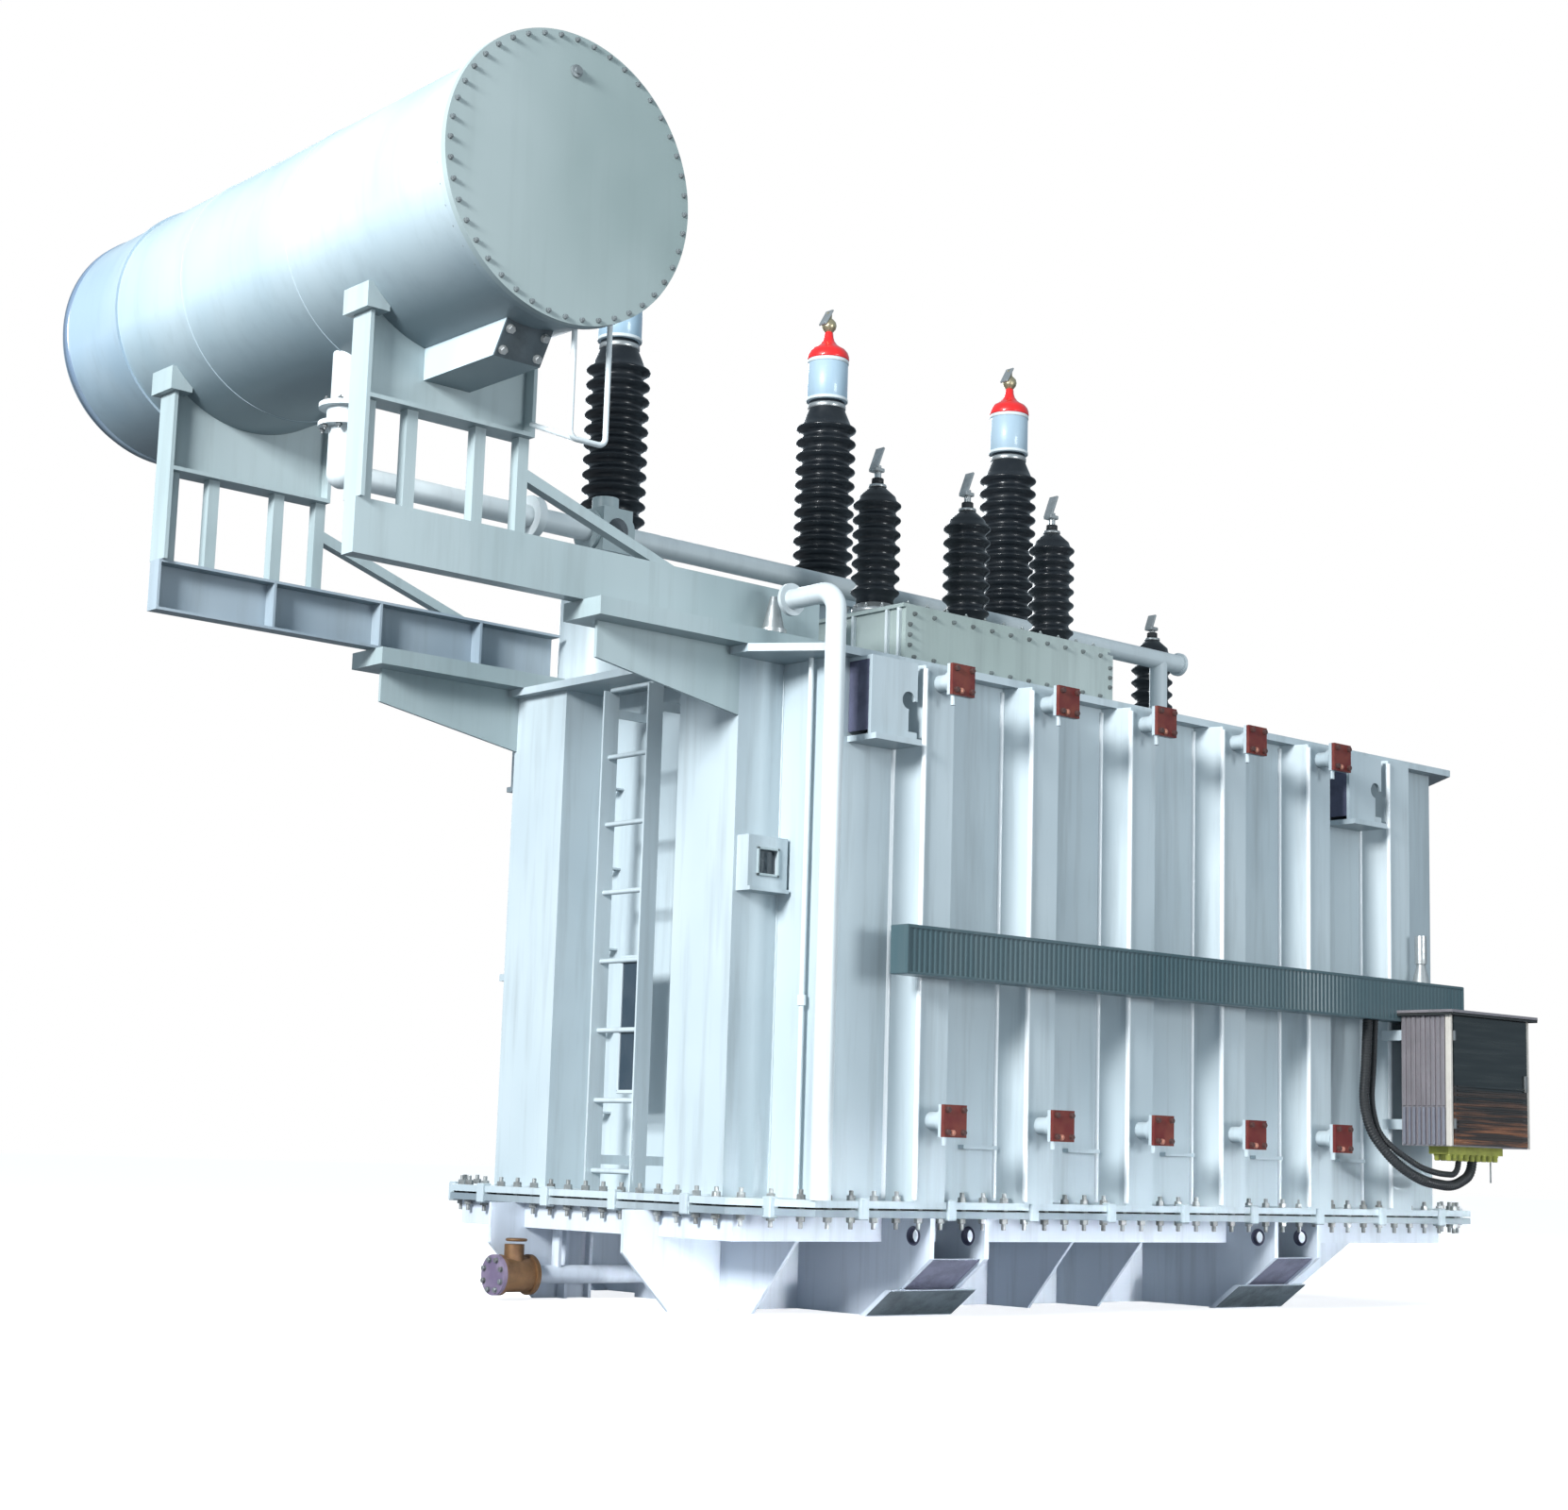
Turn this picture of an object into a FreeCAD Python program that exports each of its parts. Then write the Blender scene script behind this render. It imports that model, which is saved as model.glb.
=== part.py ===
"""Oil-filled power transformer without its radiators, as a parametric FreeCAD document.

X runs along the tank, Y across it and Z up. The origin is on the ground under the
middle of the tank. The ladder end faces -X, where the conservator lies across the
tank on two cantilever beams. The side with the cable tray and cabinet faces -Y.
Every length is in millimetres.
"""
import FreeCAD
import Part
import Sketcher
import math
import os

doc = FreeCAD.newDocument("power_transformer")
sheet = doc.addObject("Spreadsheet::Sheet", "Sizes")
nodes = []


class Size:
    """A length that knows its number and the spreadsheet expression it comes from."""

    def __init__(self, number, text):
        self.number = float(number)
        self.text = text

    def __add__(self, other):
        return combined(self, other, "+")

    def __radd__(self, other):
        return combined(other, self, "+")

    def __sub__(self, other):
        return combined(self, other, "-")

    def __rsub__(self, other):
        return combined(other, self, "-")

    def __mul__(self, other):
        return combined(self, other, "*")

    def __rmul__(self, other):
        return combined(other, self, "*")

    def __truediv__(self, other):
        return combined(self, other, "/")

    def __neg__(self):
        return combined(0, self, "-")


def as_size(value):
    """Wrap a plain number, so that it can stand in an expression."""
    return value if isinstance(value, Size) else Size(value, repr(value))


def combined(left, right, sign):
    """Work out left (sign) right as a number and as an expression."""
    left = as_size(left)
    right = as_size(right)
    results = {
        "+": left.number + right.number,
        "-": left.number - right.number,
        "*": left.number * right.number,
    }
    number = left.number / right.number if sign == "/" else results[sign]
    return Size(number, f"({left.text} {sign} {right.text})")


def root_of(value):
    """The square root of a size."""
    return Size(math.sqrt(value.number), f"sqrt({value.text})")


def cell(alias, number, note):
    """Write one driving dimension in the next row of the sheet and return it."""
    row = len(cells) + 1
    cells.append(alias)
    sheet.set(f"A{row}", note)
    sheet.set(f"B{row}", str(number))
    sheet.setAlias(f"B{row}", alias)
    return Size(number, f"Sizes.{alias}")


# ---------------------------------------------------------------- driving dimensions
cells = []
tank_length = cell("tank_length", 5080, "tank wall to tank wall along X")
tank_width = cell("tank_width", 2740, "tank wall to tank wall along Y")
tank_height = cell("tank_height", 2700, "upper joint flange to the underside of the cover")

skid_height = cell("skid_height", 370, "ground to the underside of the lower tray")
skid_width = cell("skid_width", 1040, "width of the skid under the tray")
skid_end_setback = cell("skid_end_setback", 350, "skid end inside the tank end")
gusset_left = cell("gusset_left", 490, "middle gusset from the middle, to the left")
gusset_right = cell("gusset_right", 80, "middle gusset from the middle, to the right")
end_lug_reach = cell("end_lug_reach", 600, "end lugs beyond the tank end")
end_lug_nose = cell("end_lug_nose", 290, "ground to the upright edge of an end lug")
end_lug_run = cell("end_lug_run", 300, "run of the sloping edge of an end lug")
jack_reach = cell("jack_reach", 150, "jacking plate beyond the tank end")
jack_width = cell("jack_width", 65, "width of the jacking plate")
tray_height = cell("tray_height", 130, "depth of the lower tray")
tray_side_setback = cell("tray_side_setback", 220, "tray side inside the tank side")
end_reach = cell("end_reach", 380, "tray end beyond the tank end")
flange_plate = cell("flange_plate", 35, "thickness of each joint flange")
flange_gap = cell("flange_gap", 10, "packing between the joint flanges")
flange_side_reach = cell("flange_side_reach", 150, "joint flange beyond the tank side")
flange_end_reach = cell("flange_end_reach", 450, "joint flange beyond the tank end")
corner_cut = cell("corner_cut", 350, "length of the cut corners of flanges and cover, along Y")
packing_setback = cell("packing_setback", 60, "packing inside the flange edge")

cover_plate = cell("cover_plate", 40, "thickness of the tank cover")
cover_side_reach = cell("cover_side_reach", 90, "cover beyond the tank side")
cover_end_reach = cell("cover_end_reach", 370, "cover beyond the tank end")

rib_count = 6
rung_count = 8
rib_pitch = cell("rib_pitch", 790, "spacing of the pressed ribs")
rib_depth = cell("rib_depth", 170, "rib face in front of the tank wall")
rib_root = cell("rib_root", 310, "rib width at the wall")
rib_face = cell("rib_face", 210, "rib width at its face")
end_rib_offset = cell("end_rib_offset", 600, "plain end ribs from the middle")
wall_bar = cell("wall_bar", 250, "length of the small bars between the ribs")
wall_bar_drop = cell("wall_bar_drop", 270, "height of the small bars above the flange")

frame_offset = cell("frame_offset", 970, "outer faces of the beams and pilasters from the middle")
pilaster_width = cell("pilaster_width", 470, "width of an end pilaster")
pilaster_depth = cell("pilaster_depth", 300, "pilaster face in front of the tank end")

bracket_plate = cell("bracket_plate", 90, "thickness of the plate that carries a beam")
bracket_width = cell("bracket_width", 300, "width of the plate that carries a beam")
bracket_reach = cell("bracket_reach", 1300, "plate beyond the tank end")
bracket_run_in = cell("bracket_run_in", 180, "plate inside the tank end, over the cover")
bracket_web_reach = cell("bracket_web_reach", 1210, "bracket web beyond the tank end")
bracket_nose = cell("bracket_nose", 180, "height of the bracket web at its outer end")
bracket_root = cell("bracket_root", 340, "height of the bracket web at the pilaster")
web_plate = cell("web_plate", 20, "thickness of webs and gussets")

beam_height = cell("beam_height", 260, "height of the conservator beams")
beam_flange = cell("beam_flange", 95, "flange width of the beams")
beam_wall = cell("beam_wall", 14, "wall of the beams")
beam_reach = cell("beam_reach", 2600, "beam end beyond the tank end")
beam_run_in = cell("beam_run_in", 230, "beam end inside the tank end")
beam_stiffener = cell("beam_stiffener", 650, "spacing of the beam stiffeners")
rear_run_out = cell("rear_run_out", 90, "rear beam and plate end beyond the tank end, clear of the turret")

drum_radius = cell("drum_radius", 635, "outside radius of the conservator")
drum_half = cell("drum_half", 1850, "conservator end covers from the middle")
drum_axis_reach = cell("drum_axis_reach", 2120, "conservator axis beyond the tank end")
drum_axis_rise = cell("drum_axis_rise", 1400, "conservator axis above the beams")
drum_lip = cell("drum_lip", 38, "end flange beyond the conservator wall")
drum_flange = cell("drum_flange", 32, "thickness of the end flange and of its cover")
drum_joint = cell("drum_joint", 620, "ring joint before the dished end")
dish_depth = cell("dish_depth", 130, "depth of the dished end")
dish_knuckle = cell("dish_knuckle", 90, "knuckle radius of the dished end")

saddle_half = cell("saddle_half", 470, "saddle plate from the conservator axis to each edge")
saddle_gap = cell("saddle_gap", 465, "beam to the saddle's lower flange")
saddle_flange = cell("saddle_flange", 150, "width of the saddle's flanges")
saddle_post = cell("saddle_post", 60, "side of a saddle post")
saddle_inset = cell("saddle_inset", 250, "inner posts from the outer ones")
brace_bar = cell("brace_bar", 60, "side of the diagonal braces")
brace_reach = cell("brace_reach", 930, "brace run along the beam")
brace_drop = cell("brace_drop", 150, "top of a brace below the saddle's lower flange")

sump_width = cell("sump_width", 260, "width of the sump under the conservator")
sump_drop = cell("sump_drop", 140, "sump below the conservator")
sump_front = cell("sump_front", 700, "sump from the front saddle to its sloping end")

header_offset = cell("header_offset", 420, "oil header from the middle, towards the front")
header_rise = cell("header_rise", 600, "oil header axis above the cover")
header_radius = cell("header_radius", 58, "outside radius of the oil header")
header_right = cell("header_right", 1240, "right end of the oil header")
header_elbow = cell("header_elbow", 1040, "header drop pipe from the middle")
riser_reach = cell("riser_reach", 2350, "conservator riser beyond the tank end")
riser_radius = cell("riser_radius", 72, "outside radius of the conservator riser")
flange_ring = cell("flange_ring", 110, "radius of the pipe flanges")
pipe_flange = cell("pipe_flange", 22, "thickness of a pipe flange")
relay_reach = cell("relay_reach", 780, "gas relay beyond the tank end")
relay_body = cell("relay_body", 230, "side of the gas relay")

corner_pipe_reach = cell("corner_pipe_reach", 150, "corner pipe outside the tank corner")
corner_pipe_radius = cell("corner_pipe_radius", 52, "outside radius of the corner pipe")
corner_pipe_rise = cell("corner_pipe_rise", 250, "corner pipe bend above the cover")
corner_pipe_run = cell("corner_pipe_run", 330, "corner pipe level run over the cover")
thin_pipe_radius = cell("thin_pipe_radius", 13, "outside radius of thin pipes")

ladder_width = cell("ladder_width", 370, "ladder rail to ladder rail")
ladder_middle = cell("ladder_middle", 60, "ladder centre line in front of the tank middle")
ladder_standoff = cell("ladder_standoff", 220, "ladder rail from the tank end")
rail_depth = cell("rail_depth", 100, "depth of the ladder rails")
rail_plate = cell("rail_plate", 12, "thickness of the ladder rails")
rung_drop = cell("rung_drop", 45, "last rung below the cover")
rung_radius = cell("rung_radius", 14, "ladder rung radius")
rung_first = cell("rung_first", 100, "first rung above the flange")

gauge_side = cell("gauge_side", 260, "side of the gauge box")
gauge_depth = cell("gauge_depth", 90, "depth of the gauge box")
gauge_rise = cell("gauge_rise", 1530, "gauge box above the flange")

turret_radius = cell("turret_radius", 280, "radius of a high-voltage turret")
turret_height = cell("turret_height", 840, "height of a high-voltage turret")
turret_lip = cell("turret_lip", 45, "turret flange beyond its wall")
turret_offset = cell("turret_offset", 880, "high-voltage bushings from the middle, to the rear")
turret_pitch = cell("turret_pitch", 1650, "spacing of the high-voltage bushings")
turret_shift = cell("turret_shift", 640, "middle high-voltage bushing from the middle")
porcelain_radius = cell("porcelain_radius", 190, "shed radius of a high-voltage bushing")
porcelain_height = cell("porcelain_height", 1240, "shed column of a high-voltage bushing")
porcelain_foot = cell("porcelain_foot", 80, "metal foot of a high-voltage bushing")
cap_radius = cell("cap_radius", 128, "radius of a bushing cap")
cap_height = cell("cap_height", 280, "height of a bushing cap")
cone_height = cell("cone_height", 170, "height of a bushing cone")
terminal_height = cell("terminal_height", 170, "height of a bushing terminal")

box_front_setback = cell("box_front_setback", 100, "low-voltage box behind the tank side")
box_depth = cell("box_depth", 700, "depth of the low-voltage box")
box_length = cell("box_length", 1580, "length of the low-voltage box")
box_height = cell("box_height", 320, "height of the low-voltage box")
box_shift = cell("box_shift", 1180, "low-voltage box from the middle, to the left")
box_lip = cell("box_lip", 40, "low-voltage box cover beyond its wall")
small_pitch = cell("small_pitch", 690, "spacing of the low-voltage bushings")
small_radius = cell("small_radius", 132, "shed radius of a low-voltage bushing")
small_height = cell("small_height", 560, "shed column of a low-voltage bushing")
small_foot = cell("small_foot", 90, "metal foot of a low-voltage bushing")
small_setback = cell("small_setback", 350, "low-voltage bushings behind the box front")
small_terminal = cell("small_terminal", 260, "terminal of a low-voltage bushing")
neutral_x = cell("neutral_x", 1270, "neutral bushing from the middle, to the right")
neutral_offset = cell("neutral_offset", 170, "neutral bushing from the middle, to the front")
neutral_height = cell("neutral_height", 650, "shed column of the neutral bushing")
neutral_terminal = cell("neutral_terminal", 180, "terminal of the neutral bushing")
earth_arm = cell("earth_arm", 130, "length of the earthing arm behind the ladder end")
earth_rise = cell("earth_rise", 1155, "earthing arm above the flange")

hook_width = cell("hook_width", 320, "width of a lifting hook")
hook_height = cell("hook_height", 400, "height of a lifting hook")
hook_depth = cell("hook_depth", 170, "lifting hook in front of the tank wall")
hook_left = cell("hook_left", 2455, "outer edge of the left lifting hook from the middle")
hook_right = cell("hook_right", 1480, "inner edge of the right lifting hook from the middle")
hook_gap = cell("hook_gap", 60, "width of the hook's mouth")

valve_count = 5
valve_radius = cell("valve_radius", 45, "radius of a radiator stub pipe")
valve_reach = cell("valve_reach", 150, "radiator valve flange face in front of the rib")
valve_flange = cell("valve_flange", 160, "side of the radiator valve flange")
valve_low = cell("valve_low", 400, "lower radiator valves above the flange")
valve_high = cell("valve_high", 85, "upper radiator valves below the cover")
blank_plate = cell("blank_plate", 20, "thickness of a blanking plate")
valve_bolt_spacing = cell("valve_bolt_spacing", 110, "bolt spacing of the blanking plates")
valve_bolt_hole = cell("valve_bolt_hole", 9, "radius of the blanking plates' bolt holes")

duct_height = cell("duct_height", 240, "height of the cable tray")
duct_depth = cell("duct_depth", 120, "depth of the cable tray")
duct_gap = cell("duct_gap", 20, "cable tray in front of the ribs")
duct_rise = cell("duct_rise", 1110, "cable tray above the flange")
duct_left = cell("duct_left", 2300, "left end of the cable tray from the middle")
duct_right = cell("duct_right", 2430, "right end of the cable tray from the middle")

cabinet_length = cell("cabinet_length", 800, "cabinet along the tank")
cabinet_depth = cell("cabinet_depth", 340, "depth of the cabinet")
cabinet_height = cell("cabinet_height", 770, "height of the cabinet")
cabinet_left = cell("cabinet_left", 1790, "left side of the cabinet from the middle")
cabinet_gap = cell("cabinet_gap", 140, "cabinet in front of the ribs")
cabinet_rise = cell("cabinet_rise", 380, "cabinet above the flange")
roof_plate = cell("roof_plate", 20, "thickness of the cabinet roof")
roof_reach = cell("roof_reach", 45, "cabinet roof beyond its walls")
gland_drop = cell("gland_drop", 45, "gland row below the cabinet")
conduit_radius = cell("conduit_radius", 30, "outside radius of the cabinet conduits")

lug_front_reach = cell("lug_front_reach", 130, "hauling lugs in front of the tank side")
lug_left = cell("lug_left", 1715, "left pair of lugs from the middle")
lug_right = cell("lug_right", 1030, "right pair of lugs from the middle")
lug_spacing = cell("lug_spacing", 390, "spacing of the two plates of a pair")
lug_nose = cell("lug_nose", 200, "height of the upright edge of a lug")
lug_run = cell("lug_run", 400, "run of the sloping edge of a lug")
lug_plate = cell("lug_plate", 30, "thickness of a lug")
lug_hole = cell("lug_hole", 45, "radius of the hauling hole")
lug_hole_inset = cell("lug_hole_inset", 120, "hauling hole behind the lug's edge")
foot_rise = cell("foot_rise", 140, "height of the sloping foot plate")
foot_reach = cell("foot_reach", 110, "foot plate beyond the lugs")
foot_plate = cell("foot_plate", 40, "thickness of the sloping foot plate, along Y")

drain_offset = cell("drain_offset", 430, "drain pipe from the middle, to the rear")
drain_rise = cell("drain_rise", 130, "drain pipe above the ground")
drain_radius = cell("drain_radius", 48, "radius of the drain pipe")
drain_reach = cell("drain_reach", 640, "drain valve face beyond the tank end")
drain_flange = cell("drain_flange", 105, "flange radius of the drain valve")
valve_body = cell("valve_body", 215, "length of the drain valve")
relief_radius = cell("relief_radius", 58, "foot radius of the relief fitting")
relief_height = cell("relief_height", 170, "height of the relief fitting")
relief_reach = cell("relief_reach", 150, "relief fitting beyond the tank end")
sensor_radius = cell("sensor_radius", 55, "foot radius of the sensor")
sensor_height = cell("sensor_height", 120, "height of the sensor's cone")
sensor_stem = cell("sensor_stem", 170, "height of the sensor's stem")
sensor_inset = cell("sensor_inset", 350, "sensor from the right end of the cable tray")
doc.recompute()

# ---------------------------------------------------------------- derived places
tank_end = tank_length / 2
tank_side = tank_width / 2
tray_top = skid_height + tray_height
joint_top = tray_top + flange_plate * 2 + flange_gap
tank_top = joint_top + tank_height
cover_top = tank_top + cover_plate
beam_bottom = cover_top + bracket_plate
beam_top = beam_bottom + beam_height
drum_x = -(tank_end + drum_axis_reach)
drum_z = beam_top + drum_axis_rise
rib_front = tank_side + rib_depth
header_z = cover_top + header_rise


# ---------------------------------------------------------------- makers
def bind(item, name, value):
    """Tie one property of an object to the sheet, or set a plain number."""
    if isinstance(value, Size):
        item.setExpression(name, value.text)
    else:
        item.setExpression(name, repr(float(value)))


def put(item, place):
    """Bind an object's place."""
    for axis, value in zip("xyz", place):
        bind(item, f"Placement.Base.{axis}", value)
    return item


def label(item, name):
    """Name an object as one node of the transformer."""
    item.Label = name
    nodes.append(item)
    return item


def part(kind, name):
    """Add an object of this kind to the document."""
    return doc.addObject(kind, name)


def block(name, size, corner):
    """A block with its lowest corner at corner."""
    item = part("Part::Box", name)
    for prop, value in zip(("Length", "Width", "Height"), size):
        bind(item, prop, value)
    return put(item, corner)


TURNS = {
    "Z": FreeCAD.Rotation(),
    "X": FreeCAD.Rotation(FreeCAD.Vector(0, 1, 0), 90),
    "Y": FreeCAD.Rotation(FreeCAD.Vector(1, 0, 0), -90),
}


def rod(name, radius, length, base, axis="Z"):
    """A round bar that starts at base and runs along an axis."""
    item = part("Part::Cylinder", name)
    item.Placement = FreeCAD.Placement(FreeCAD.Vector(), TURNS[axis])
    bind(item, "Radius", radius)
    bind(item, "Height", length)
    return put(item, base)


def taper(name, low_radius, high_radius, height, base):
    """An upright cone frustum."""
    item = part("Part::Cone", name)
    bind(item, "Radius1", low_radius)
    bind(item, "Radius2", high_radius)
    bind(item, "Height", height)
    return put(item, base)


def joined(name, pieces):
    """Several solids fused into one."""
    item = part("Part::MultiFuse", name)
    item.Shapes = pieces
    return item


def gathered(name, pieces):
    """Several solids that stand apart, kept as one node."""
    item = part("Part::Compound", name)
    item.Links = pieces
    return item


def without(name, base, tool):
    """The base with the tool cut away."""
    item = part("Part::Cut", name)
    item.Base = base
    item.Tool = tool
    return item


def outline_sketch(body, role, points):
    """A closed polygon on one of the body's origin planes, each corner bound to the sheet."""
    plane = [item for item in body.Origin.OriginFeatures if item.Role == role][0]
    sketch = body.newObject("Sketcher::SketchObject", body.Name + "_outline")
    sketch.AttachmentSupport = (plane, [""])
    sketch.MapMode = "FlatFace"
    corners = [(as_size(first), as_size(second)) for first, second in points]
    vectors = [FreeCAD.Vector(first.number, second.number, 0) for first, second in corners]
    count = len(vectors)
    for index in range(count):
        sketch.addGeometry(Part.LineSegment(vectors[index], vectors[(index + 1) % count]), False)
    for index in range(count):
        sketch.addConstraint(Sketcher.Constraint("Coincident", index, 2, (index + 1) % count, 1))
    for index, corner in enumerate(corners):
        for kind, value in zip(("DistanceX", "DistanceY"), corner):
            rule = sketch.addConstraint(Sketcher.Constraint(kind, -1, 1, index, 1, value.number))
            sketch.setExpression(f"Constraints[{rule}]", value.text)
    return sketch


def slab(name, role, points, thickness, place=(0, 0, 0)):
    """A polygon on an origin plane, padded to both sides of it by half the thickness."""
    body = part("PartDesign::Body", name)
    sketch = outline_sketch(body, role, points)
    pad = body.newObject("PartDesign::Pad", name + "_pad")
    pad.Profile = sketch
    pad.Midplane = True
    bind(pad, "Length", thickness)
    sketch.Visibility = False
    return put(body, place)


def turned(name, points, place):
    """A half profile of (radius, height) corners, revolved about the upright axis."""
    body = part("PartDesign::Body", name)
    sketch = outline_sketch(body, "XZ_Plane", points)
    spin = body.newObject("PartDesign::Revolution", name + "_turn")
    spin.Profile = sketch
    spin.ReferenceAxis = (sketch, ["V_Axis"])
    spin.Angle = 360
    return put(body, place)


def mirrored_y(name, source):
    """The same solid on the other side of the transformer's long middle plane."""
    item = part("Part::Mirroring", name)
    item.Source = source
    item.Normal = FreeCAD.Vector(0, 1, 0)
    item.Base = FreeCAD.Vector(0, 0, 0)
    return item


def eight_sided(end, side, cut):
    """The outline of a plate whose four corners are cut, from its reach each way."""
    quarter = [(end, side - cut), (end - cut * 0.77, side)]
    points = [quarter[0], quarter[1]]
    points += [(-x, y) for x, y in reversed(quarter)]
    points += [(-x, -y) for x, y in quarter]
    points += [(x, -y) for x, y in reversed(quarter)]
    return points


# ---------------------------------------------------------------- base
def make_base():
    """Skid, gussets, hauling lugs and the lower tray."""
    skid_length = tank_length - skid_end_setback * 2
    skid = block("skid", (skid_length, skid_width, skid_height), (-skid_length / 2, -skid_width / 2, 0))
    label(skid, "base_skid")

    tray_length = tank_length + end_reach * 2
    tray_width = tank_width - tray_side_setback * 2
    tray = block("tray", (tray_length, tray_width, tray_height),
                 (-tray_length / 2, -tray_width / 2, skid_height))
    label(tray, "lower_tray")

    gusset_top = tank_side - tray_side_setback
    side_outline = [
        (-gusset_top, skid_height),
        (-(gusset_top - lug_run * 0.8), 0),
        (-skid_width / 2, 0),
        (-skid_width / 2, skid_height),
    ]
    gussets = []
    for index, x in enumerate((-tank_end + web_plate * 2, -gusset_left, gusset_right)):
        front = slab(f"side_gusset_{index}", "YZ_Plane", side_outline, web_plate, (x, 0, 0))
        gussets += [front, mirrored_y(f"side_gusset_rear_{index}", front)]
    tray_end = tank_end + end_reach
    lug_end = tank_end + end_lug_reach
    right_outline = [(tray_end, skid_height), (skid_length / 2, 0), (skid_length / 2, skid_height)]
    left_outline = [
        (-lug_end, tray_top),
        (-lug_end, end_lug_nose),
        (-(lug_end - end_lug_run), 0),
        (-(tank_end - web_plate * 1.5), 0),
        (-(tank_end - web_plate * 1.5), skid_height),
        (-tray_end, skid_height),
        (-tray_end, tray_top),
    ]
    for turn, points, y in (("right", right_outline, -(skid_width / 2 - web_plate)),
                            ("left", left_outline, -(skid_width / 2 + web_plate * 2.5))):
        front = slab(f"end_gusset_{turn}", "XZ_Plane", points, web_plate, (0, y, 0))
        gussets += [front, mirrored_y(f"end_gusset_rear_{turn}", front)]
    gussets.append(block("jack_plate", (web_plate, jack_width, skid_height),
                         (-(tank_end + jack_reach), drain_offset + drain_radius * 1.3, 0)))
    label(gathered("gussets", gussets), "base_gussets")

    lugs = []
    for pair, middle in (("left", -lug_left), ("right", lug_right)):
        front = hauling_lugs(pair, middle)
        lugs += [front, mirrored_y(f"lugs_rear_{pair}", front)]
    label(gathered("lugs", lugs), "hauling_lugs")


def hauling_lugs(name, middle):
    """Two upright plates with hauling holes, a sloping plate between them and a foot plate."""
    edge = -(tank_side + lug_front_reach)
    slope_top = tray_top - lug_nose
    foot_y = edge + lug_run
    tray_y = -(tank_side - tray_side_setback)
    outline = [
        (edge, tray_top),
        (edge, slope_top),
        (foot_y, 0),
        (-skid_width / 2, 0),
        (-skid_width / 2, skid_height),
        (tray_y, skid_height),
        (tray_y, tray_top),
    ]
    slope = lug_run / slope_top
    hole_z = tray_top - lug_hole * 2
    hole = rod(f"lug_hole_{name}", lug_hole, lug_spacing * 2,
               (middle - lug_spacing, edge + lug_hole_inset, hole_z), "X")
    pieces = []
    for index, shift in enumerate((lug_spacing / -2, lug_spacing / 2)):
        plate = slab(f"lug_{name}_{index}", "YZ_Plane", outline, lug_plate, (middle + shift, 0, 0))
        pieces.append(without(f"lug_bored_{name}_{index}", plate, hole))
    web_y = edge + lug_plate
    web_outline = [
        (web_y, slope_top),
        (foot_y + lug_plate, 0),
        (foot_y + lug_plate * 2, 0),
        (web_y + lug_plate, slope_top),
    ]
    web_length = lug_spacing - lug_plate
    pieces.append(slab(f"lug_web_{name}", "YZ_Plane", web_outline, web_length, (middle, 0, 0)))
    foot_outline = [
        (foot_y - slope * foot_rise, foot_rise),
        (foot_y - slope * foot_rise - foot_plate, foot_rise),
        (foot_y - foot_plate, 0),
        (foot_y, 0),
    ]
    foot_length = lug_spacing + foot_reach * 2
    pieces.append(slab(f"lug_foot_{name}", "YZ_Plane", foot_outline, foot_length, (middle, 0, 0)))
    return gathered(f"lug_pair_{name}", pieces)


def make_flanges():
    """The two bolted joint flanges with the packing between them."""
    outline = eight_sided(tank_end + flange_end_reach, tank_side + flange_side_reach, corner_cut)
    lower = slab("lower_flange_plate", "XY_Plane", outline, flange_plate,
                 (0, 0, tray_top + flange_plate / 2))
    label(lower, "lower_flange")
    packing_end = tank_end + flange_end_reach - packing_setback
    packing_side = tank_side + flange_side_reach - packing_setback
    packing = slab("packing", "XY_Plane", eight_sided(packing_end, packing_side, corner_cut),
                   flange_gap, (0, 0, tray_top + flange_plate + flange_gap / 2))
    label(packing, "flange_packing")
    upper = slab("upper_flange_plate", "XY_Plane", outline, flange_plate,
                 (0, 0, joint_top - flange_plate / 2))
    label(upper, "tank_flange")


# ---------------------------------------------------------------- tank
def pressed_rib(name, place, turn):
    """One pressed box rib, wider at the wall, from the joint flange to the cover."""
    outline = [
        (rib_root / -2, 0),
        (rib_face / -2, -rib_depth),
        (rib_face / 2, -rib_depth),
        (rib_root / 2, 0),
    ]
    rib = slab(name, "XY_Plane", outline, tank_height, place)
    rib.Placement.Rotation = FreeCAD.Rotation(FreeCAD.Vector(0, 0, 1), turn)
    return rib


def make_tank():
    """The tank, its pressed ribs, end pilasters and cover."""
    label(block("tank", (tank_length, tank_width, tank_height), (-tank_end, -tank_side, joint_top)),
          "tank_shell")
    middle_z = joint_top + tank_height / 2
    ribs = []
    for side, sign, turn in (("front", -1, 0), ("rear", 1, 180)):
        for index in range(rib_count):
            x = rib_pitch * (index - (rib_count - 1) / 2)
            ribs.append(pressed_rib(f"rib_{side}_{index}", (x, tank_side * sign, middle_z), turn))
    for index, sign in enumerate((-1, 1)):
        ribs.append(pressed_rib(f"rib_end_{index}", (tank_end, end_rib_offset * sign, middle_z), 90))
    label(gathered("ribs", ribs), "tank_ribs")

    pilasters = []
    for index, y in enumerate((-frame_offset, frame_offset - pilaster_width)):
        pilasters.append(block(f"pilaster_{index}", (pilaster_depth, pilaster_width, tank_height),
                               (-(tank_end + pilaster_depth), y, joint_top)))
    label(gathered("pilasters", pilasters), "end_pilasters")

    outline = eight_sided(tank_end + cover_end_reach, tank_side + cover_side_reach, corner_cut)
    label(slab("cover_plate_body", "XY_Plane", outline, cover_plate, (0, 0, tank_top + cover_plate / 2)),
          "tank_cover")


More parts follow.
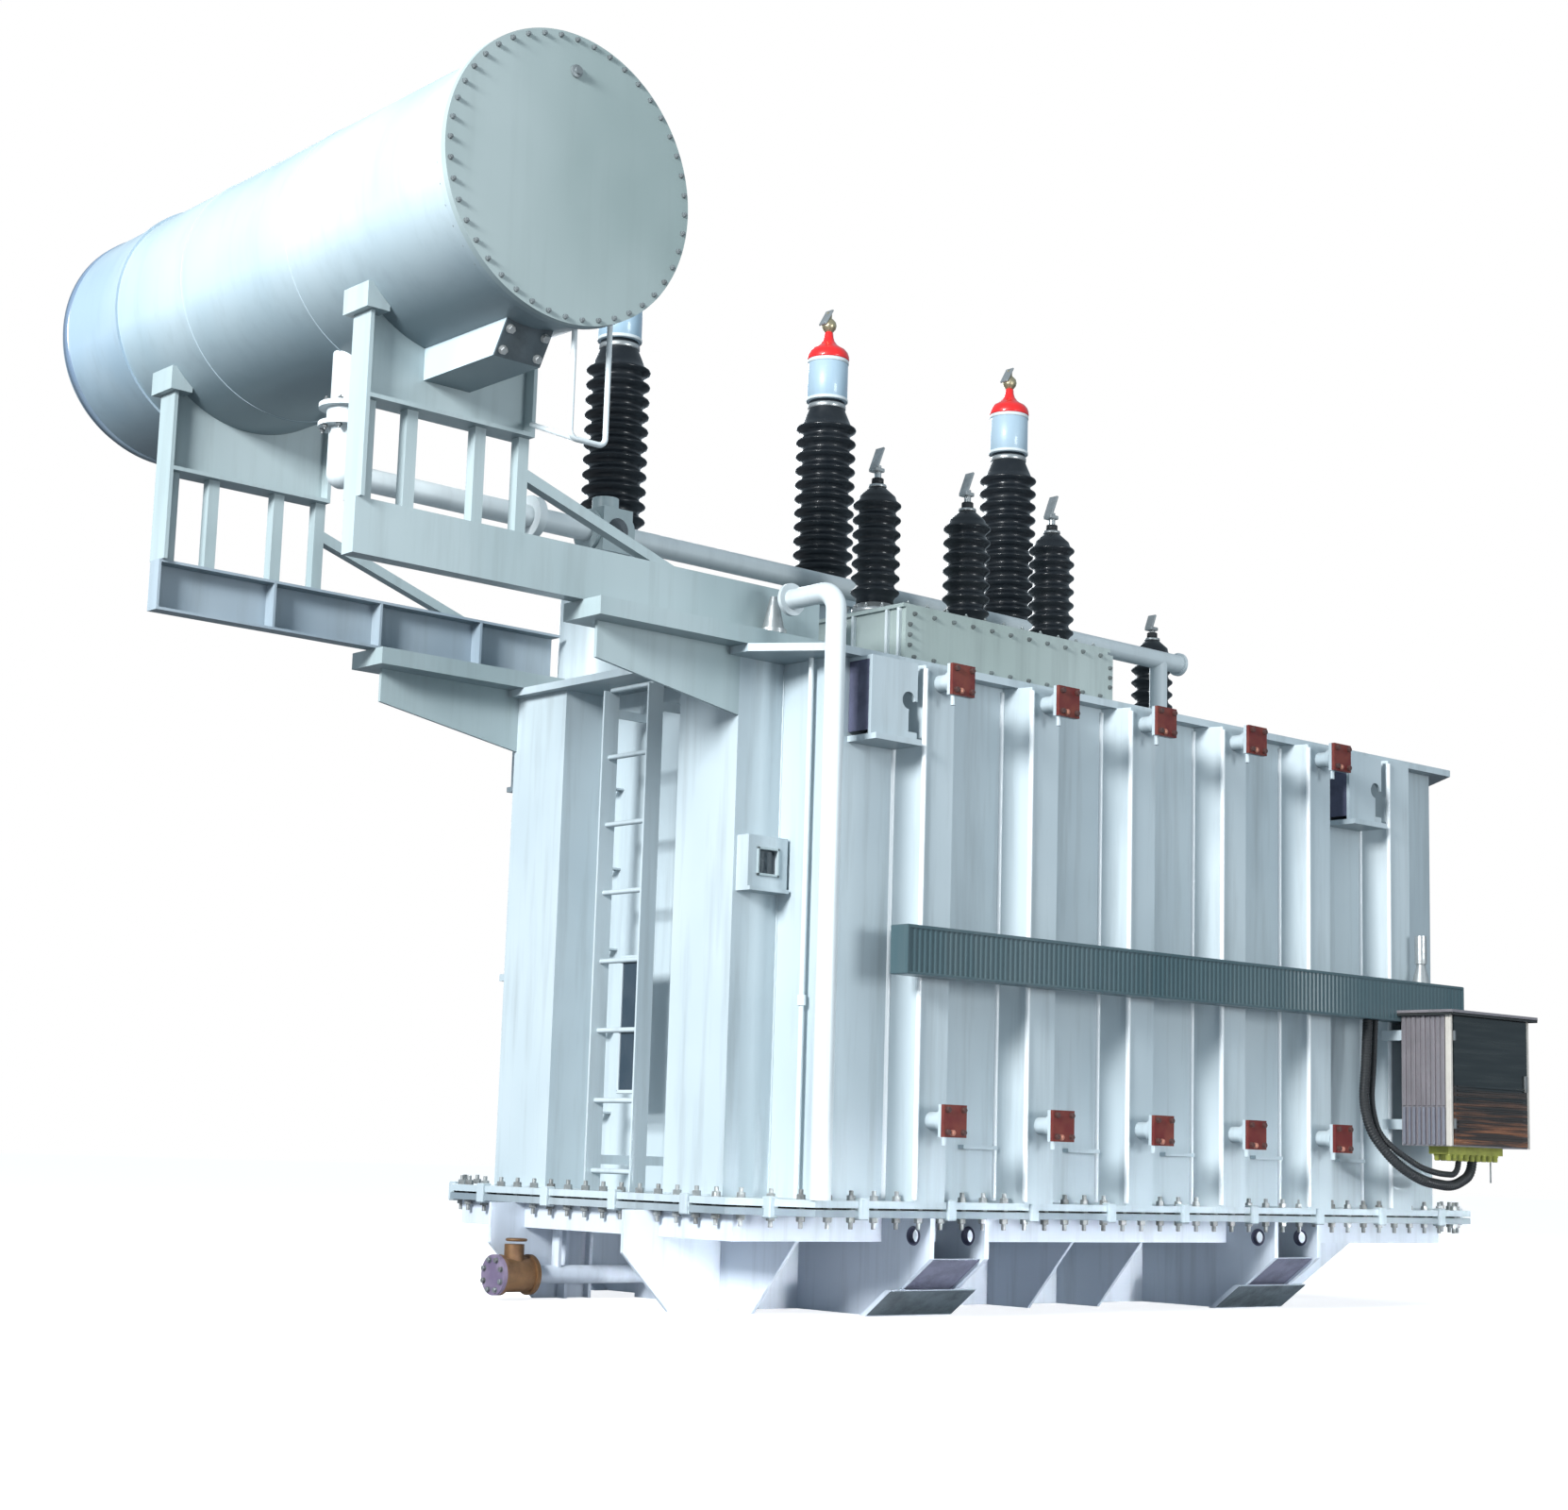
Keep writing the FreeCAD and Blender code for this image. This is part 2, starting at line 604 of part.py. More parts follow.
def make_hooks():
    """Four lifting hooks: a front plate with a mouth open to its right, a cheek, a top and a shelf."""
    front = []
    for name, x in (("left", -hook_left), ("right", hook_right)):
        low = tank_top - hook_height
        outer = -(tank_side + hook_depth)
        face = block(f"hook_face_{name}", (hook_width, web_plate, hook_height), (x, outer, low))
        mouth_x = x + hook_width - hook_gap
        mouth = rod(f"hook_mouth_{name}", hook_gap * 0.75, web_plate * 3,
                    (mouth_x, outer - web_plate, low + hook_height * 0.5), "Y")
        slot = block(f"hook_slot_{name}", (hook_gap * 2, web_plate * 3, hook_height * 0.4),
                     (mouth_x, outer - web_plate, low + hook_height * 0.1))
        cut = without(f"hook_plate_{name}", face, joined(f"hook_void_{name}", [mouth, slot]))
        cheek = block(f"hook_cheek_{name}", (web_plate, hook_depth, hook_height),
                      (x + hook_width * 0.6, outer, low))
        top = block(f"hook_top_{name}", (hook_width * 0.6, hook_depth, web_plate),
                    (x, outer, tank_top - web_plate))
        shelf = block(f"hook_shelf_{name}", (hook_width, hook_depth + web_plate * 2, web_plate * 1.5),
                      (x, outer - web_plate * 2, low - web_plate * 1.5))
        front.append(joined(f"hook_{name}", [cut, cheek, top, shelf]))
    rear = [mirrored_y(f"hook_rear_{index}", item) for index, item in enumerate(front)]
    label(gathered("hooks", front + rear), "lifting_hooks")


# ---------------------------------------------------------------- conservator and its frame
def behind_turret(name):
    """The room over the cover's rear half that the bushing turrets need."""
    return block(name, (tank_length, tank_side, beam_top - tank_top + turret_height),
                 (-(tank_end + rear_run_out), 0, cover_top))


def make_brackets():
    """The plate and web at each corner of the ladder end that carry the beams."""
    plate_length = bracket_reach + bracket_run_in
    plate_y = -(frame_offset + bracket_width / 2 - web_plate / 2)
    plate = block("bracket_plate_front", (plate_length, bracket_width, bracket_plate),
                  (-(tank_end + bracket_reach), plate_y, cover_top))
    outline = [
        (-(tank_end + cover_end_reach), cover_top),
        (-(tank_end + cover_end_reach), tank_top),
        (-(tank_end + pilaster_depth), tank_top),
        (-(tank_end + pilaster_depth), cover_top - bracket_root),
        (-(tank_end + bracket_web_reach), cover_top - bracket_nose),
        (-(tank_end + bracket_web_reach), cover_top),
    ]
    web = slab("bracket_web_front", "XZ_Plane", outline, web_plate, (0, -(frame_offset - web_plate / 2), 0))
    front = joined("bracket_front", [plate, web])
    rear = without("bracket_rear_cut", mirrored_y("bracket_rear", front), behind_turret("bracket_room"))
    label(gathered("brackets", [front, rear]), "beam_brackets")


def make_beams():
    """The two channel beams, open towards the middle, with stiffener plates."""
    length = beam_reach + beam_run_in
    outer = -frame_offset
    section = [
        (outer, beam_bottom),
        (outer + beam_flange, beam_bottom),
        (outer + beam_flange, beam_bottom + beam_wall),
        (outer + beam_wall, beam_bottom + beam_wall),
        (outer + beam_wall, beam_top - beam_wall),
        (outer + beam_flange, beam_top - beam_wall),
        (outer + beam_flange, beam_top),
        (outer, beam_top),
    ]
    middle_x = -(tank_end + beam_reach) + length / 2
    pieces = [slab("beam_channel", "YZ_Plane", section, length, (middle_x, 0, 0))]
    for index in range(4):
        x = -(tank_end + beam_reach) + beam_stiffener * index + beam_wall * (index > 0)
        pieces.append(block(f"beam_stiffener_{index}", (beam_wall, beam_flange - beam_wall, beam_height),
                            (x, outer + beam_wall, beam_bottom)))
    front = joined("beam_front", pieces)
    label(front, "conservator_beam_front")
    rear = without("beam_rear_cut", mirrored_y("beam_rear", front), behind_turret("beam_room"))
    label(rear, "conservator_beam_rear")


def make_saddles():
    """The two saddle stands, each a curved plate with flanges on four posts, and their braces."""
    flange_z = beam_top + saddle_gap
    left = drum_x - saddle_half
    right = drum_x + saddle_half
    middle_y = -(frame_offset - beam_flange / 2)
    top = drum_z - root_of(drum_radius * drum_radius - saddle_half * saddle_half)
    flange_y = middle_y - saddle_flange / 2
    pieces = [
        block("saddle_plate", (saddle_half * 2, web_plate, drum_z - flange_z),
              (left, middle_y - web_plate / 2, flange_z)),
        block("saddle_low_flange", (saddle_half * 2, saddle_flange, web_plate), (left, flange_y, flange_z)),
        block("saddle_left_flange", (web_plate, saddle_flange, top - beam_top), (left, flange_y, beam_top)),
        block("saddle_right_flange", (web_plate, saddle_flange, top - flange_z),
              (right - web_plate, flange_y, flange_z)),
        block("saddle_pad", (web_plate * 6, saddle_flange * 1.4, web_plate * 6),
              (left - web_plate * 2, middle_y - saddle_flange * 0.7, top - web_plate * 5)),
    ]
    for index, x in enumerate((left + web_plate, left + saddle_inset,
                               right - saddle_inset - saddle_post, right - saddle_post)):
        pieces.append(block(f"saddle_post_{index}", (saddle_post, saddle_post, saddle_gap),
                            (x, middle_y - saddle_post / 2, beam_top)))
    drum = rod("saddle_bore", drum_radius, drum_half * 2, (drum_x, -drum_half, drum_z), "Y")
    front = without("saddle_cut", joined("saddle_blank", pieces), drum)
    label(gathered("saddles", [front, mirrored_y("saddle_rear", front)]), "conservator_saddles")

    brace_z = flange_z - brace_drop
    outline = [
        (right, brace_z),
        (right, brace_z - brace_bar),
        (right + brace_reach - brace_bar * 2.5, beam_top),
        (right + brace_reach, beam_top),
    ]
    brace = slab("brace_front", "XZ_Plane", outline, brace_bar, (0, middle_y, 0))
    label(gathered("braces", [brace, mirrored_y("brace_rear", brace)]), "saddle_braces")


def make_conservator():
    """The oil drum that lies across the beams: wall, bolted front cover, dished rear end, sump."""
    wall_length = drum_half * 2 - drum_joint - drum_flange
    wall = rod("drum_wall", drum_radius, wall_length, (drum_x, -drum_half + drum_flange, drum_z), "Y")
    lip = rod("drum_lip_ring", drum_radius + drum_lip, drum_flange,
              (drum_x, -drum_half + drum_flange, drum_z), "Y")
    label(joined("drum", [wall, lip]), "conservator_shell")
    label(rod("drum_cover", drum_radius + drum_lip, drum_flange, (drum_x, -drum_half, drum_z), "Y"),
          "conservator_cover")

    length = drum_joint + dish_depth
    straight = length - dish_depth
    profile = [
        (0, 0),
        (drum_radius + drum_lip / 3, 0),
        (drum_radius + drum_lip / 3, drum_flange),
        (drum_radius, drum_flange),
        (drum_radius, straight),
        (drum_radius - dish_knuckle * 0.3, straight + dish_knuckle * 0.7),
        (drum_radius - dish_knuckle, straight + dish_knuckle),
        (drum_radius / 2, length - dish_knuckle * 0.1),
        (0, length),
    ]
    dish = turned("dish", profile, (drum_x, drum_half - drum_joint, drum_z))
    dish.Placement.Rotation = TURNS["Y"]
    label(dish, "conservator_dished_end")

    sump_z = drum_z - drum_radius - sump_drop
    back = -(frame_offset - beam_flange / 2 + web_plate / 2)
    front = back - sump_front
    outline = [
        (back, drum_z),
        (back, sump_z),
        (front + sump_drop, sump_z),
        (front, sump_z + sump_drop * 1.6),
        (front, drum_z),
    ]
    blank = slab("sump_blank", "YZ_Plane", outline, sump_width, (drum_x, 0, 0))
    bore = rod("sump_bore", drum_radius, drum_half * 2, (drum_x, -drum_half, drum_z), "Y")
    label(without("sump", blank, bore), "conservator_sump")


def flange_pair(name, centre, axis):
    """Two bolted round pipe flanges about a point on a pipe."""
    shift = {"X": (1, 0, 0), "Y": (0, 1, 0), "Z": (0, 0, 1)}[axis]
    base = [value - pipe_flange * step for value, step in zip(centre, shift)]
    return rod(name, flange_ring, pipe_flange * 2, base, axis)


def make_header():
    """The oil header from the conservator riser to its drop pipe, with valve and gas relay."""
    y = -header_offset
    left = -(tank_end + riser_reach)
    relay_x = -(tank_end + relay_reach)
    relay_half = relay_body / 2
    left_run = rod("header_left", header_radius, relay_x - relay_half - left, (left, y, header_z), "X")
    corner = part("Part::Sphere", "header_corner")
    bind(corner, "Radius", riser_radius)
    put(corner, (left, y, header_z))
    riser_x = left - drum_x
    shell_z = drum_z - root_of(drum_radius * drum_radius - riser_x * riser_x)
    valve_z = header_z + (shell_z - header_z) / 2
    riser = rod("header_riser", riser_radius, valve_z - relay_body / 4 - header_z, (left, y, header_z))
    flanges = [flange_pair("header_flange_left", (relay_x - relay_body * 2, y, header_z), "X")]
    left_part = joined("header_left_part", [left_run, corner, riser, *flanges])

    right_run = rod("header_right_run", header_radius, header_right - (relay_x + relay_half),
                    (relay_x + relay_half, y, header_z), "X")
    drop = rod("header_drop", header_radius * 0.95, header_rise, (header_elbow, y, cover_top))
    foot = rod("header_foot", flange_ring, pipe_flange, (header_elbow, y, cover_top))
    cap = rod("header_cap", header_radius * 1.25, pipe_flange, (header_right - pipe_flange, y, header_z), "X")
    right_part = joined("header_right_part", [right_run, drop, foot, cap])
    label(gathered("header", [left_part, right_part]), "header_pipe")

    body = block("relay_box", (relay_body - pipe_flange * 2, relay_body, relay_body),
                 (relay_x - relay_half + pipe_flange, y - relay_half, header_z - relay_half))
    left_ring = rod("relay_ring_left", flange_ring, pipe_flange, (relay_x - relay_half, y, header_z), "X")
    right_ring = rod("relay_ring_right", flange_ring, pipe_flange,
                     (relay_x + relay_half - pipe_flange, y, header_z), "X")
    dome = rod("relay_dome", relay_body * 0.3, relay_body * 0.3, (relay_x, y, header_z + relay_half))
    label(joined("relay", [body, left_ring, right_ring, dome]), "gas_relay")

    valve_half = relay_body / 4
    stem = rod("riser_valve_stem", riser_radius, shell_z - valve_z + riser_radius, (left, y, valve_z))
    ring = riser_radius * 1.75
    low_ring = rod("riser_valve_low", ring, pipe_flange, (left, y, valve_z - valve_half))
    high_ring = rod("riser_valve_high", ring, pipe_flange, (left, y, valve_z + valve_half - pipe_flange))
    waist = rod("riser_valve_waist", riser_radius * 1.2, valve_half * 2, (left, y, valve_z - valve_half))
    blank = joined("riser_valve_blank", [stem, low_ring, high_ring, waist])
    bore = rod("riser_bore", drum_radius, drum_half * 2, (drum_x, -drum_half, drum_z), "Y")
    label(without("riser_valve", blank, bore), "conservator_valve")


def pipe_along(name, radius, points, bend):
    """A round pipe along straight runs joined by arcs of one bend radius."""
    corners = [FreeCAD.Vector(*[as_size(value).number for value in point]) for point in points]
    edges = []
    start = corners[0]
    for before, corner, after in zip(corners, corners[1:], corners[2:]):
        into = (corner - before).normalize()
        out = (after - corner).normalize()
        half_turn = into.getAngle(out) / 2
        trim = as_size(bend).number * math.tan(half_turn)
        arc_start = corner - into * trim
        arc_end = corner + out * trim
        towards = (out - into).normalize()
        middle = corner + towards * (as_size(bend).number / math.cos(half_turn) - as_size(bend).number)
        edges.append(Part.LineSegment(start, arc_start).toShape())
        edges.append(Part.Arc(arc_start, middle, arc_end).toShape())
        start = arc_end
    edges.append(Part.LineSegment(start, corners[-1]).toShape())
    return swept(name, radius, edges, corners)


def swept(name, radius, edges, corners):
    """A round section carried along joined edges."""
    path = Part.Wire(edges)
    circle = Part.Circle(corners[0], corners[1] - corners[0], as_size(radius).number)
    item = part("Part::Feature", name)
    item.Shape = path.makePipeShell([Part.Wire(circle.toShape())], True, False)
    section = math.pi * as_size(radius).number ** 2
    ratio = item.Shape.Volume / (section * path.Length)
    if abs(ratio - 1) > 0.01:
        raise RuntimeError(f"{name} has the wrong volume, ratio {ratio:.4f}")
    return item


def make_pipes():
    """The corner pipe with its thin companion, and the sight pipes under the conservator."""
    x = -(tank_end + corner_pipe_reach)
    y = -(tank_side + corner_pipe_reach)
    bend_z = cover_top + corner_pipe_rise
    main = pipe_along("corner_main", corner_pipe_radius,
                      [(x, y, joint_top), (x, y, bend_z), (x, y + corner_pipe_run, bend_z)],
                      corner_pipe_radius * 2)
    end_ring = rod("corner_ring", corner_pipe_radius * 1.6, pipe_flange,
                   (x, y + corner_pipe_run, bend_z), "Y")
    thin_x = -(tank_end + thin_pipe_radius * 3)
    thin_y = -(tank_side - pilaster_depth / 2)
    thin = rod("corner_thin", thin_pipe_radius, tank_height, (thin_x, thin_y, joint_top))
    coupling = rod("corner_coupling", thin_pipe_radius * 1.7, thin_pipe_radius * 4,
                   (thin_x, thin_y, joint_top + tank_height * 0.35))
    label(gathered("corner_pipes", [joined("corner_pipe_part", [main, end_ring]),
                                    joined("corner_thin_part", [thin, coupling])]), "corner_pipe")

    near = -(drum_half - drum_lip * 3)
    first = drum_x + drum_radius * 0.22
    second = drum_x + drum_radius * 0.53
    low = beam_top + saddle_gap * 0.54
    bore_top = drum_z - drum_radius * 0.8
    loop = pipe_along("sight_loop", thin_pipe_radius,
                      [(first, near, bore_top), (first, near, low), (second, near, low),
                       (second, near, bore_top)], thin_pipe_radius * 3)
    stay_y = -(frame_offset - beam_flange / 2 + saddle_flange / 2)
    stay = pipe_along("sight_stay", thin_pipe_radius,
                      [(first + thin_pipe_radius * 4, near, low),
                       (drum_x + saddle_half - web_plate, stay_y, beam_top + saddle_gap + saddle_post)], 0)
    bore = rod("sight_bore", drum_radius, drum_half * 2, (drum_x, -drum_half, drum_z), "Y")
    label(without("sight", joined("sight_blank", [loop, stay]), bore), "sight_pipes")


# ---------------------------------------------------------------- ladder end
def make_ladder():
    """Two flat rails with round rungs, stood off the tank end on short arms."""
    x = -(tank_end + ladder_standoff + rail_depth)
    middle = -ladder_middle
    rung_pitch = (tank_height - rung_first - rung_drop) / (rung_count - 1)
    pieces = []
    for index, y in enumerate((middle - ladder_width / 2 - rail_plate, middle + ladder_width / 2)):
        pieces.append(block(f"ladder_rail_{index}", (rail_depth, rail_plate, tank_height - rung_first / 2),
                            (x, y, joint_top)))
        for level, share in enumerate((0.05, 0.93)):
            pieces.append(block(f"ladder_arm_{index}_{level}", (ladder_standoff, rail_plate, rail_plate * 4),
                                (x + rail_depth, y, joint_top + tank_height * share)))
    for index in range(rung_count):
        pieces.append(rod(f"rung_{index}", rung_radius, ladder_width,
                          (x + rail_depth / 2, middle - ladder_width / 2,
                           joint_top + rung_first + rung_pitch * index), "Y"))
    label(gathered("ladder_part", pieces), "ladder")


def make_gauge_box():
    """The square gauge box on the front pilaster, with a recessed window and a shelf."""
    x = -(tank_end + pilaster_depth / 2 + gauge_side / 2)
    y = -(frame_offset + gauge_depth)
    z = joint_top + gauge_rise
    case = block("gauge_case", (gauge_side, gauge_depth, gauge_side), (x, y, z))
    window = block("gauge_window", (gauge_side * 0.5, gauge_depth / 3, gauge_side * 0.5),
                   (x + gauge_side * 0.25, y, z + gauge_side * 0.25))
    shelf = block("gauge_shelf", (gauge_side, gauge_depth * 1.2, web_plate),
                  (x, -(frame_offset + gauge_depth * 1.2), z - web_plate))
    label(joined("gauge", [without("gauge_open", case, window), shelf]), "gauge_box")


# ---------------------------------------------------------------- bushings
def make_high_voltage():
    """Three turrets on the cover, each with a shed bushing, cap, cone and terminal."""
    turrets = []
    columns = []
    heads = []
    for index in range(3):
        x = turret_pitch * (index - 1) - turret_shift
        y = turret_offset
        drum = rod(f"turret_{index}", turret_radius, turret_height, (x, y, cover_top))
        low = rod(f"turret_low_{index}", turret_radius + turret_lip, pipe_flange * 1.5, (x, y, cover_top))
        high = rod(f"turret_high_{index}", turret_radius + turret_lip, pipe_flange * 2,
                   (x, y, cover_top + turret_height - pipe_flange * 2))
        turrets.append(joined(f"turret_part_{index}", [drum, low, high]))
        foot_z = cover_top + turret_height
        column_z = foot_z + porcelain_foot
        top = column_z + porcelain_height
        columns.append(turned(f"porcelain_{index}", [
            (0, 0),
            (porcelain_radius * 1.1, 0),
            (porcelain_radius * 1.1, porcelain_foot * 0.4),
            (porcelain_radius, porcelain_foot),
            (porcelain_radius, porcelain_foot + porcelain_height),
            (0, porcelain_foot + porcelain_height),
        ], (x, y, foot_z)))
        heads.append(turned(f"head_{index}", [
            (0, 0),
            (cap_radius, 0),
            (cap_radius, cap_height),
            (cap_radius * 0.9, cap_height + cone_height * 0.2),
            (cap_radius * 0.3, cap_height + cone_height),
            (cap_radius * 0.3, cap_height + cone_height + terminal_height),
            (0, cap_height + cone_height + terminal_height),
        ], (x, y, top)))
    label(gathered("turrets", turrets), "hv_turrets")
    label(gathered("columns", columns), "hv_bushings")
    label(gathered("heads", heads), "hv_bushing_heads")


def small_bushing(name, height, terminal, place):
    """A small shed bushing on a metal foot, with its terminal."""
    return turned(name, [
        (0, 0),
        (small_radius * 0.95, 0),
        (small_radius * 0.95, small_foot),
        (small_radius, small_foot),
        (small_radius, small_foot + height),
        (small_radius * 0.35, small_foot + height + small_foot * 0.7),
        (small_radius * 0.3, small_foot + height + terminal),
        (0, small_foot + height + terminal),
    ], place)


def make_low_voltage():
    """The low-voltage box on the cover with its bolted front, three bushings, and the neutral."""
    left = -(box_shift + box_length / 2)
    front = -(tank_side - box_front_setback)
    body = block("box_body", (box_length, box_depth, box_height), (left, front, cover_top))
    face = block("box_face", (box_length + box_lip, web_plate, box_height - box_lip),
                 (left - box_lip / 2, front - web_plate, cover_top + box_lip / 2))
    roof = block("box_roof", (box_length + box_lip, box_depth, web_plate),
                 (left - box_lip / 2, front, cover_top + box_height))
    label(joined("box_part", [body, face, roof]), "lv_turret_box")
    bushings = []
    for index in range(3):
        x = small_pitch * (index - 1) - box_shift
        bushings.append(small_bushing(f"small_{index}", small_height, small_terminal,
                                      (x, front + small_setback, cover_top + box_height + web_plate)))
    label(gathered("smalls", bushings), "lv_bushings")
    neutral_place = (neutral_x, -neutral_offset, cover_top)
    label(small_bushing("neutral", neutral_height, neutral_terminal, neutral_place), "neutral_bushing")


# ---------------------------------------------------------------- long sides
def make_radiator_valves():
    """Blanked radiator valves on the ribs of both long sides, upper and lower."""
    valves = []
    blanks = []
    face = rib_front + valve_reach
    for index in range(valve_count):
        x = rib_pitch * (index - (rib_count - 1) / 2)
        for level, rise in (("low", valve_low), ("high", tank_height - valve_high)):
            name = f"{level}_{index}"
            z = joint_top + rise
            stub = rod(f"stub_{name}", valve_radius, valve_reach - web_plate, (x, -face + web_plate, z), "Y")
            ring = block(f"stub_flange_{name}", (valve_flange, web_plate, valve_flange),
                         (x - valve_flange / 2, -face, z - valve_flange / 2))
            collar = rod(f"stub_collar_{name}", valve_flange * 0.36, web_plate * 1.5,
                         (x, -face + web_plate * 2, z), "Y")
            handle = rod(f"stub_handle_{name}", thin_pipe_radius, valve_flange * 0.75,
                         (x, -face + web_plate * 2.75, z - valve_flange * 0.75))
            body = joined(f"valve_body_{name}", [stub, ring, collar, handle])
            plate = block(f"blank_plate_{name}", (valve_flange, blank_plate, valve_flange),
                          (x - valve_flange / 2, -face - blank_plate, z - valve_flange / 2))
            holes = []
            for across in (-1, 1):
                for up in (-1, 1):
                    holes.append(rod(f"bolt_hole_{name}_{across + 1}{up + 1}", valve_bolt_hole,
                                     (blank_plate + web_plate) * 2,
                                     (x + valve_bolt_spacing / 2 * across, -face - blank_plate * 2,
                                      z + valve_bolt_spacing / 2 * up), "Y"))
            drill = gathered(f"bolt_holes_{name}", holes)
            valve = without(f"valve_{name}", body, drill)
            blank = without(f"blank_{name}", plate, drill)
            valves += [valve, mirrored_y(f"valve_rear_{name}", valve)]
            blanks += [blank, mirrored_y(f"blank_rear_{name}", blank)]
    label(gathered("valves", valves), "radiator_valves")
    label(gathered("blanks", blanks), "blanking_plates")


def make_cabinet_side():
    """Cable tray, control cabinet with roof and gland row, and its brackets."""
    duct_y = -(rib_front + duct_gap + duct_depth)
    duct_z = joint_top + duct_rise
    duct = block("duct", (duct_left + duct_right, duct_depth, duct_height), (-duct_left, duct_y, duct_z))
    label(duct, "cable_tray")

    back = -(rib_front + cabinet_gap)
    front = back - cabinet_depth
    low = joint_top + cabinet_rise
    case = block("cabinet_case", (cabinet_length, cabinet_depth, cabinet_height), (cabinet_left, front, low))
    roof = block("roof", (cabinet_length + roof_reach * 2, cabinet_depth + roof_reach, roof_plate),
                 (cabinet_left - roof_reach, front - roof_reach, low + cabinet_height))
    label(joined("cabinet", [case, roof]), "control_cabinet")
    glands = block("glands", (cabinet_length * 0.7, cabinet_depth * 0.4, gland_drop),
                   (cabinet_left + cabinet_length * 0.15, front + cabinet_depth * 0.3, low - gland_drop))
    label(glands, "gland_plate")

    arms = []
    for index, share in enumerate((0.12, 0.8)):
        arms.append(block(f"cabinet_arm_{index}", (rib_root * 2.2, cabinet_gap, web_plate * 3),
                          (cabinet_left, back, low + cabinet_height * share)))
    for index in range(rib_count):
        x = rib_pitch * (index - (rib_count - 1) / 2)
        arms.append(block(f"duct_arm_{index}", (rib_face * 0.4, duct_gap, duct_height * 0.5),
                          (x - rib_face * 0.2, -(rib_front + duct_gap), duct_z + duct_height * 0.25)))
    for index in range(rib_count - 1):
        x = rib_pitch * (index - (rib_count - 1) / 2) + rib_pitch - rib_root / 2 - wall_bar - web_plate
        bar = block(f"wall_bar_{index}", (wall_bar, web_plate * 2, web_plate),
                    (x, -tank_side - web_plate * 2, joint_top + wall_bar_drop))
        arms += [bar, mirrored_y(f"wall_bar_rear_{index}", bar)]
    arms.append(block("earth_bar", (web_plate * 2, earth_arm, web_plate * 2),
                      (-(tank_end - web_plate * 2), tank_side, joint_top + earth_rise)))
    label(gathered("arms", arms), "side_brackets")


def make_fittings():
    """Drain valve under the tray, relief fitting on the bracket plate, sensor on the cable tray."""
    start = -(tank_end - skid_end_setback)
    valve_end = -(tank_end + drain_reach)
    pipe = rod("drain_run", drain_radius, drain_reach - valve_body + skid_end_setback,
               (valve_end + valve_body, drain_offset, drain_rise), "X")
    hanger = block("drain_hanger", (web_plate, web_plate * 3, skid_height - drain_rise),
                   (-(tank_end + end_reach * 0.7), drain_offset - web_plate * 1.5, drain_rise))
    label(joined("drain", [pipe, hanger]), "drain_pipe")
    ring = drain_flange
    pieces = [
        rod("drain_ring_in", ring, pipe_flange,
            (valve_end + valve_body - pipe_flange, drain_offset, drain_rise), "X"),
        rod("drain_body", ring * 0.85, valve_body, (valve_end, drain_offset, drain_rise), "X"),
        rod("drain_ring_out", ring, pipe_flange, (valve_end, drain_offset, drain_rise), "X"),
        rod("drain_bonnet", ring * 0.5, ring * 1.5, (valve_end + valve_body / 2, drain_offset, drain_rise)),
    ]
    label(joined("drain_valve_part", pieces), "drain_valve")
    blank = rod("drain_blind", ring, pipe_flange, (valve_end - pipe_flange, drain_offset, drain_rise), "X")
    label(blank, "drain_blank")

    plate_x = -(tank_end + relief_reach)
    fitting_y = -(frame_offset + bracket_width / 4)
    relief = taper("relief_cone", relief_radius, relief_radius * 0.35, relief_height,
                   (plate_x, fitting_y, beam_bottom + pipe_flange))
    relief_foot = rod("relief_foot", relief_radius * 1.2, pipe_flange, (plate_x, fitting_y, beam_bottom))
    duct_top = joint_top + duct_rise + duct_height
    sensor_x = duct_right - sensor_inset
    sensor_y = -(rib_front + duct_gap + duct_depth / 2)
    sensor = taper("sensor_cone", sensor_radius, sensor_radius * 0.45, sensor_height,
                   (sensor_x, sensor_y, duct_top))
    sensor_bell = rod("sensor_bell", sensor_radius * 0.65, sensor_stem,
                      (sensor_x, sensor_y, duct_top + sensor_height))
    fittings = [joined("relief", [relief, relief_foot]), joined("sensor", [sensor, sensor_bell])]
    label(gathered("fittings", fittings), "top_fittings")


def cord_tube(name, radius, points):
    """A free conduit: straight runs joined by tangent arcs as large as the runs allow."""
    corners = [FreeCAD.Vector(*point) for point in points]
    edges = []
    start = corners[0]
    radii = []
    for before, corner, after in zip(corners, corners[1:], corners[2:]):
        into = corner - before
        out = after - corner
        half_turn = into.getAngle(out) / 2
        trim = 0.45 * min(into.Length, out.Length)
        bend = trim / math.tan(half_turn)
        into.normalize()
        out.normalize()
        arc_start = corner - into * trim
        arc_end = corner + out * trim
        middle = corner + (out - into).normalize() * (bend / math.cos(half_turn) - bend)
        edges.append(Part.LineSegment(start, arc_start).toShape())
        edges.append(Part.Arc(arc_start, middle, arc_end).toShape())
        start = arc_end
        radii.append(round(bend))
    edges.append(Part.LineSegment(start, corners[-1]).toShape())
    print(name, "bend radii", radii)
    return swept(name, radius, edges, corners)


